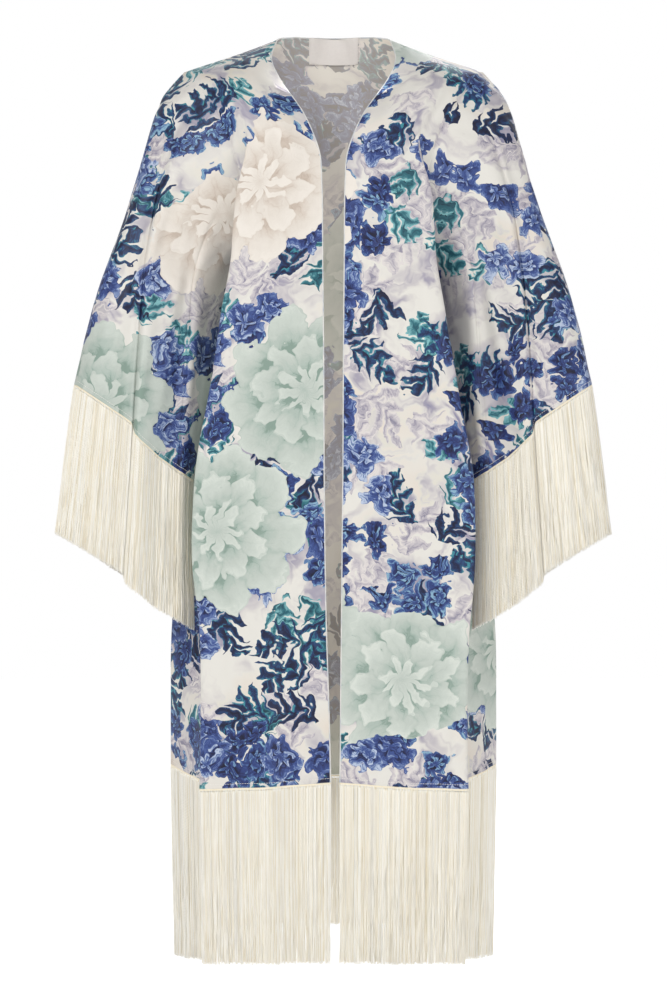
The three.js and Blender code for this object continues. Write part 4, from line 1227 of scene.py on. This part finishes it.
def fringe(name, edge, out, down, ends, closed, count, seed):
    """A header tape just below a cloth's edge, and the strands that hang from it to their ends."""
    middle = edge - out * CLOTH_THICKNESS / 2
    face = middle + out * HEADER_PROUD
    tape_rows = np.array([HEADER_FROM, 0.33 * HEADER_HEIGHT, 0.66 * HEADER_HEIGHT, HEADER_HEIGHT])
    tape_places = face[None] + down[None] * tape_rows[:, None, None]
    tape = sewn_cloth(name + "_header", tape_places, [yarn], HEADER_THICKNESS, closed=closed,
                      out=np.broadcast_to(out, tape_places.shape).copy())
    roots = middle + down * BUNDLE_FROM
    carrier = line_mesh(name, roots, {"drop": down * BUNDLE_LENGTH, "out": out, "down": down}, closed)
    steps = np.diff(np.concatenate([roots, roots[:1]]) if closed else roots, axis=0)
    bundles = round(float(np.linalg.norm(steps, axis=1).sum()) / BUNDLE_PITCH)
    heads_piece = grown(name + "_bundles", carrier, strands,
                        {"Strands": bundles, "Radius": BUNDLE_RADIUS, "Bends": 2, "Sides": BUNDLE_SIDES,
                         "Own Sway": 0.0, "Shared Sway": 0.0, "Depth": 0.0, "Seed": seed, "Material": yarn})
    roots = middle + down * STRANDS_FROM
    carrier = line_mesh(name, roots, {"drop": ends - roots, "out": out, "down": down}, closed)
    strands_piece = grown(name + "_strands", carrier, strands,
                          {"Strands": count, "Radius": STRAND_RADIUS, "Bends": STRAND_BENDS,
                           "Sides": STRAND_SIDES, "Own Sway": STRAND_OWN_SWAY,
                           "Shared Sway": STRAND_SHARED_SWAY, "Depth": STRAND_DEPTH, "Seed": seed,
                           "Material": yarn})
    for piece in (tape, heads_piece, strands_piece):
        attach(piece, "root")
    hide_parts(name)


out_right = facing_out(front_cloths["right"])[0]
out_left = facing_out(front_cloths["left"])[0]
out_back = facing_out(back_cloth)[0]
hem_edge = np.concatenate([front_cloths["right"][0], back_cloth[0, 1:-1], front_cloths["left"][0][::-1]])
hem_out = np.concatenate([out_right, out_back[1:-1], out_left[::-1]])
hem_out[:, 2] = 0
hem_out /= np.linalg.norm(hem_out, axis=1, keepdims=True)
hem_down = np.broadcast_to([0.0, 0.0, -1.0], hem_edge.shape).copy()
side_depth = FRONT_ROWS[0][12] * MM
towards_back = ease((hem_edge[:, 1] - FRONT_PLANE) / (side_depth - FRONT_PLANE))
behind = ease((hem_edge[:, 1] - side_depth) / (BACK_ROWS[0][0] * MM - side_depth))
level = FRINGE_END_FRONT + (FRINGE_END_SIDE - FRINGE_END_FRONT) * towards_back
level += (FRINGE_END_BACK - level) * behind
hem_ends = np.stack([hem_edge[:, 0] * FRINGE_DRAW_IN, hem_edge[:, 1] * FRINGE_DRAW_IN, level], axis=1)
fringe("hem_fringe", hem_edge, hem_out, hem_down, hem_ends, False, HEM_STRANDS, 3)

# Cuff fringes
# The same fringe in a shorter length, sewn round each cuff. It hangs nearly plumb and spreads a little
# towards its outer end.
CUFF_FRINGE_LENGTH = 0.205
CUFF_FRINGE_FLARE = 0.026
CUFF_STRANDS = 1650
cuff_top = SLEEVE_ROWS[-1][0] * MM
cuff_low = SLEEVE_ROWS[-1][3] * MM
for side_name, hand, seed in (("right", -1, 21), ("left", 1, 35)):
    sleeve = sleeve_cloths[side_name]
    edge = sleeve[-1]
    out = facing_out(sleeve, closed=True)[-1]
    down = sleeve[-1] - sleeve[-3]
    down /= np.linalg.norm(down, axis=1, keepdims=True)
    outwards = np.clip((hand * edge[:, 0] - cuff_low) / (cuff_top - cuff_low), 0, 1)
    ends = edge + down * HEADER_HEIGHT
    ends[:, 0] += hand * CUFF_FRINGE_FLARE * outwards
    ends[:, 2] -= CUFF_FRINGE_LENGTH
    fringe("cuff_fringe_" + side_name, edge, out, down, ends, True, CUFF_STRANDS, seed)

# Stitches
# The narrow turnings at the hem and the cuffs are topstitched in pale polyester thread, which also holds the
# fringe's tape.
HEM_STITCH_ABOVE = 5.6 * MM
STITCH_PITCH = 3.4 * MM
STITCH_LENGTH = 2.9 * MM
STITCH_RADIUS = 0.32 * MM
STITCH_PROUD = 0.15 * MM
EDGE_ROWS = 4


def stitch_tree():
    """Sets short rounded stitches along a line, one every pitch."""
    tree, given, result = start_tree(
        "GeometryNodeTree", "stitches along a line",
        [("Geometry", "Geometry", None), ("Pitch", "Float", 0.0032), ("Length", "Float", 0.0025),
         ("Radius", "Float", 0.0003), ("Material", "Material", None)],
        [("Geometry", "Geometry")],
    )
    line = add(tree, "GeometryNodeMeshToCurve", {"Mesh": given.outputs["Geometry"]})
    points = add(tree, "GeometryNodeCurveToPoints",
                 {"Curve": line.outputs[0], "Length": given.outputs["Pitch"]}, mode="LENGTH")
    thread = add(tree, "GeometryNodeMeshUVSphere", {"Segments": 6, "Rings": 4, "Radius": 1.0})
    half_length = maths(tree, "MULTIPLY", given.outputs["Length"], 0.5)
    size = add(tree, "ShaderNodeCombineXYZ",
               {0: given.outputs["Radius"], 1: given.outputs["Radius"], 2: half_length})
    shaped = add(tree, "GeometryNodeTransform", {"Geometry": thread.outputs[0], "Scale": size.outputs[0]})
    sewn = add(tree, "GeometryNodeInstanceOnPoints",
               {"Points": points.outputs["Points"], "Instance": shaped.outputs[0],
                "Rotation": points.outputs["Rotation"]})
    real = add(tree, "GeometryNodeRealizeInstances", {"Geometry": sewn.outputs[0]})
    dyed = add(tree, "GeometryNodeSetMaterial",
               {"Geometry": real.outputs[0], "Material": given.outputs["Material"]})
    tree.links.new(dyed.outputs[0], result.inputs["Geometry"])
    return tree


def sewing_thread(name, code):
    """Spun polyester thread, a little glossy, with its twist drawn as fine slanting bands."""
    material, tree, surface = new_material(name, {"Roughness": 0.5})
    place = add(tree, "ShaderNodeTexCoord")
    twist = add(tree, "ShaderNodeTexWave", {"Vector": place.outputs["Object"], "Scale": 900.0},
                bands_direction="DIAGONAL")
    tone = colour_steps(tree, twist.outputs["Fac"], [(0.0, code), (1.0, "#F2EEE6")])
    tree.links.new(tone, surface.inputs["Base Color"])
    return material


stitches = stitch_tree()
pale_thread = sewing_thread("pale polyester thread", "#D9D6D2")


def sewn_line(name, places, closed):
    """A row of stitches along places on the robe."""
    carrier = line_mesh(name, places, {}, closed)
    piece = grown(name, carrier, stitches, {"Pitch": STITCH_PITCH, "Length": STITCH_LENGTH,
                                            "Radius": STITCH_RADIUS, "Material": pale_thread})
    for face in piece.data.polygons:
        face.use_smooth = True
    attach(piece, "root")


def above_edge(cloth, distance, cuff=False):
    """Places on a cloth's face at a distance from its hem, or from a sleeve's cuff, and just proud of it."""
    strip = cloth[::-1][:EDGE_ROWS] if cuff else cloth[:EDGE_ROWS]
    steps = np.linalg.norm(np.diff(strip, axis=0), axis=2).cumsum(axis=0)
    steps = np.concatenate([0 * steps[:1], steps])
    places = np.zeros(strip.shape[1:])
    for column in range(strip.shape[1]):
        for axis in range(3):
            places[column, axis] = np.interp(distance, steps[:, column], strip[:, column, axis])
    out = facing_out(cloth, closed=cuff)[-1 if cuff else 0]
    return places + out * STITCH_PROUD


hem_cloths = [front_cloths["right"], back_cloth, front_cloths["left"]]
hem_lines = [above_edge(cloth, HEM_STITCH_ABOVE) for cloth in hem_cloths]
hem_line = np.concatenate([hem_lines[0], hem_lines[1][1:-1], hem_lines[2][::-1]])
sewn_line("hem_topstitch", hem_line, False)
for side_name in ("right", "left"):
    cuff_line = above_edge(sleeve_cloths[side_name], HEM_STITCH_ABOVE, cuff=True)
    sewn_line("cuff_" + side_name + "_topstitch", cuff_line, True)

# Front and neck edge
# The free edges of both fronts and the back neck are rolled to a fine hem, 2 mm wide, that shows as a pale
# line.
ROLL_RADIUS = 1.0 * MM
ROLL_WALL = 0.6 * MM
ROLL_SIDES = 8


def rolled_satin():
    """The satin's own unprinted ivory, rolled tight, with painted shade that varies a little along its
    length.
    """
    material, tree, surface = new_material("rolled satin hem", {"Roughness": 0.45})
    place = add(tree, "ShaderNodeTexCoord")
    tone = add(tree, "ShaderNodeTexNoise", {"Vector": place.outputs["Object"], "Scale": 60.0, "Detail": 2.0})
    # The darker blue-grey steps of this ramp are painted shade along the rolled hem.
    paint = colour_steps(tree, tone.outputs[0], [(0.3, "#B7BDC4"), (0.5, "#CFCFCC"), (0.7, "#DEDBD6")])
    tree.links.new(paint, surface.inputs["Base Color"])
    turns = add(tree, "ShaderNodeTexWave",
                {"Vector": place.outputs["Object"], "Scale": 90.0, "Distortion": 1.0},
                bands_direction="DIAGONAL")
    raise_surface(tree, surface, turns.outputs["Fac"], 0.3, 0.4 * MM)
    return material


neck_first = half_back - COLUMNS_PER_BACK_SPAN
neck_last = half_back + COLUMNS_PER_BACK_SPAN
edge_path = np.concatenate([front_cloths["right"][:, 0], back_cloth[-1, neck_first + 1 : neck_last],
                            front_cloths["left"][::-1, 0]])
edge_out = np.concatenate([facing_out(front_cloths["right"])[:, 0],
                           facing_out(back_cloth)[-1, neck_first + 1 : neck_last],
                           facing_out(front_cloths["left"])[::-1, 0]])
edge_path = edge_path - edge_out * CLOTH_THICKNESS / 2
along_edge = np.gradient(edge_path, axis=0)
along_edge /= np.linalg.norm(along_edge, axis=1, keepdims=True)
edge_side = np.cross(along_edge, edge_out)
edge_side /= np.linalg.norm(edge_side, axis=1, keepdims=True)
angles = np.arange(ROLL_SIDES)[None, :, None] / ROLL_SIDES * 2 * math.pi
roll_out = edge_out[:, None] * np.cos(angles) + edge_side[:, None] * np.sin(angles)
roll = sewn_cloth("front_edge_rolled_hem", edge_path[:, None] + roll_out * ROLL_RADIUS, [rolled_satin()],
                  ROLL_WALL, closed=True, out=roll_out)
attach(roll, "root")

# Room
# A plain white studio: a wide round floor of pale paper, a white surround and soft round lights. The floor
# glows a little, so it is white to its far edge. The surround looks brighter to the camera than it shines.
FLOOR = -1.45
FLOOR_RADIUS = 9.0
FLOOR_CORNERS = 96
SURROUND_SHINES = 0.42
floor_mesh = bpy.data.meshes.new("studio_floor")
round_floor = [2 * math.pi * k / FLOOR_CORNERS for k in range(FLOOR_CORNERS)]
floor_mesh.from_pydata(
    [(FLOOR_RADIUS * math.cos(turn), FLOOR_RADIUS * math.sin(turn), FLOOR) for turn in round_floor],
    [], [list(range(FLOOR_CORNERS))])
floor = bpy.data.objects.new("studio_floor", floor_mesh)
bpy.context.scene.collection.objects.link(floor)
paper = new_material("matt white paper", {"Base Color": linear("#BDBDBC"), "Roughness": 0.9,
                                          "Emission Color": (1, 1, 1, 1), "Emission Strength": 0.80})[0]
floor_mesh.materials.append(paper)

world = bpy.data.worlds.new("studio")
bpy.context.scene.world = world
world.use_nodes = True
surround = world.node_tree.nodes["Background"]
surround.inputs["Color"].default_value = (1, 1, 1, 1)
seen = add(world.node_tree, "ShaderNodeLightPath")
strength = add(world.node_tree, "ShaderNodeMath",
               {0: seen.outputs["Is Camera Ray"], 1: 1 - SURROUND_SHINES, 2: SURROUND_SHINES},
               operation="MULTIPLY_ADD")
world.node_tree.links.new(strength.outputs[0], surround.inputs["Strength"])

# Three round lights stand round the robe. Two weak panels inside it brighten the back's inner face and its
# fringe. A row gives a light's place, what it points at, its width and height, and its power in watts.
for name, shape, place, target, width, height, power in (
    ("key", "DISK", (-2.0, -3.1, 1.5), (0, 0, -0.6), 1.6, 1.6, 66),
    ("fill", "DISK", (2.6, -3.2, 0.3), (0, 0, -0.7), 2.0, 2.0, 38),
    ("back", "DISK", (0.6, 3.0, 1.6), (0, 0, -0.5), 2.4, 2.4, 55),
    ("lining", "RECTANGLE", (0, -0.075, -0.44), (0, 0, -0.44), 0.16, 0.8, 0.5),
    ("fringe", "RECTANGLE", (0, -0.075, -1.17), (0, 0, -1.17), 0.16, 0.22, 0.19),
):
    light = bpy.data.objects.new(name + "_light", bpy.data.lights.new(name + "_light", "AREA"))
    light.data.shape = shape
    light.data.size = width
    light.data.size_y = height
    light.data.energy = power
    light.location = place
    light.visible_camera = False
    reach = np.array(target) - np.array(place)
    turn = math.atan2(reach[1], reach[0]) - math.pi / 2
    light.rotation_euler = (math.acos(-reach[2] / np.linalg.norm(reach)), 0, turn)
    bpy.context.scene.collection.objects.link(light)
bpy.context.scene.view_settings.view_transform = "Standard"
bpy.context.scene.view_settings.look = "None"
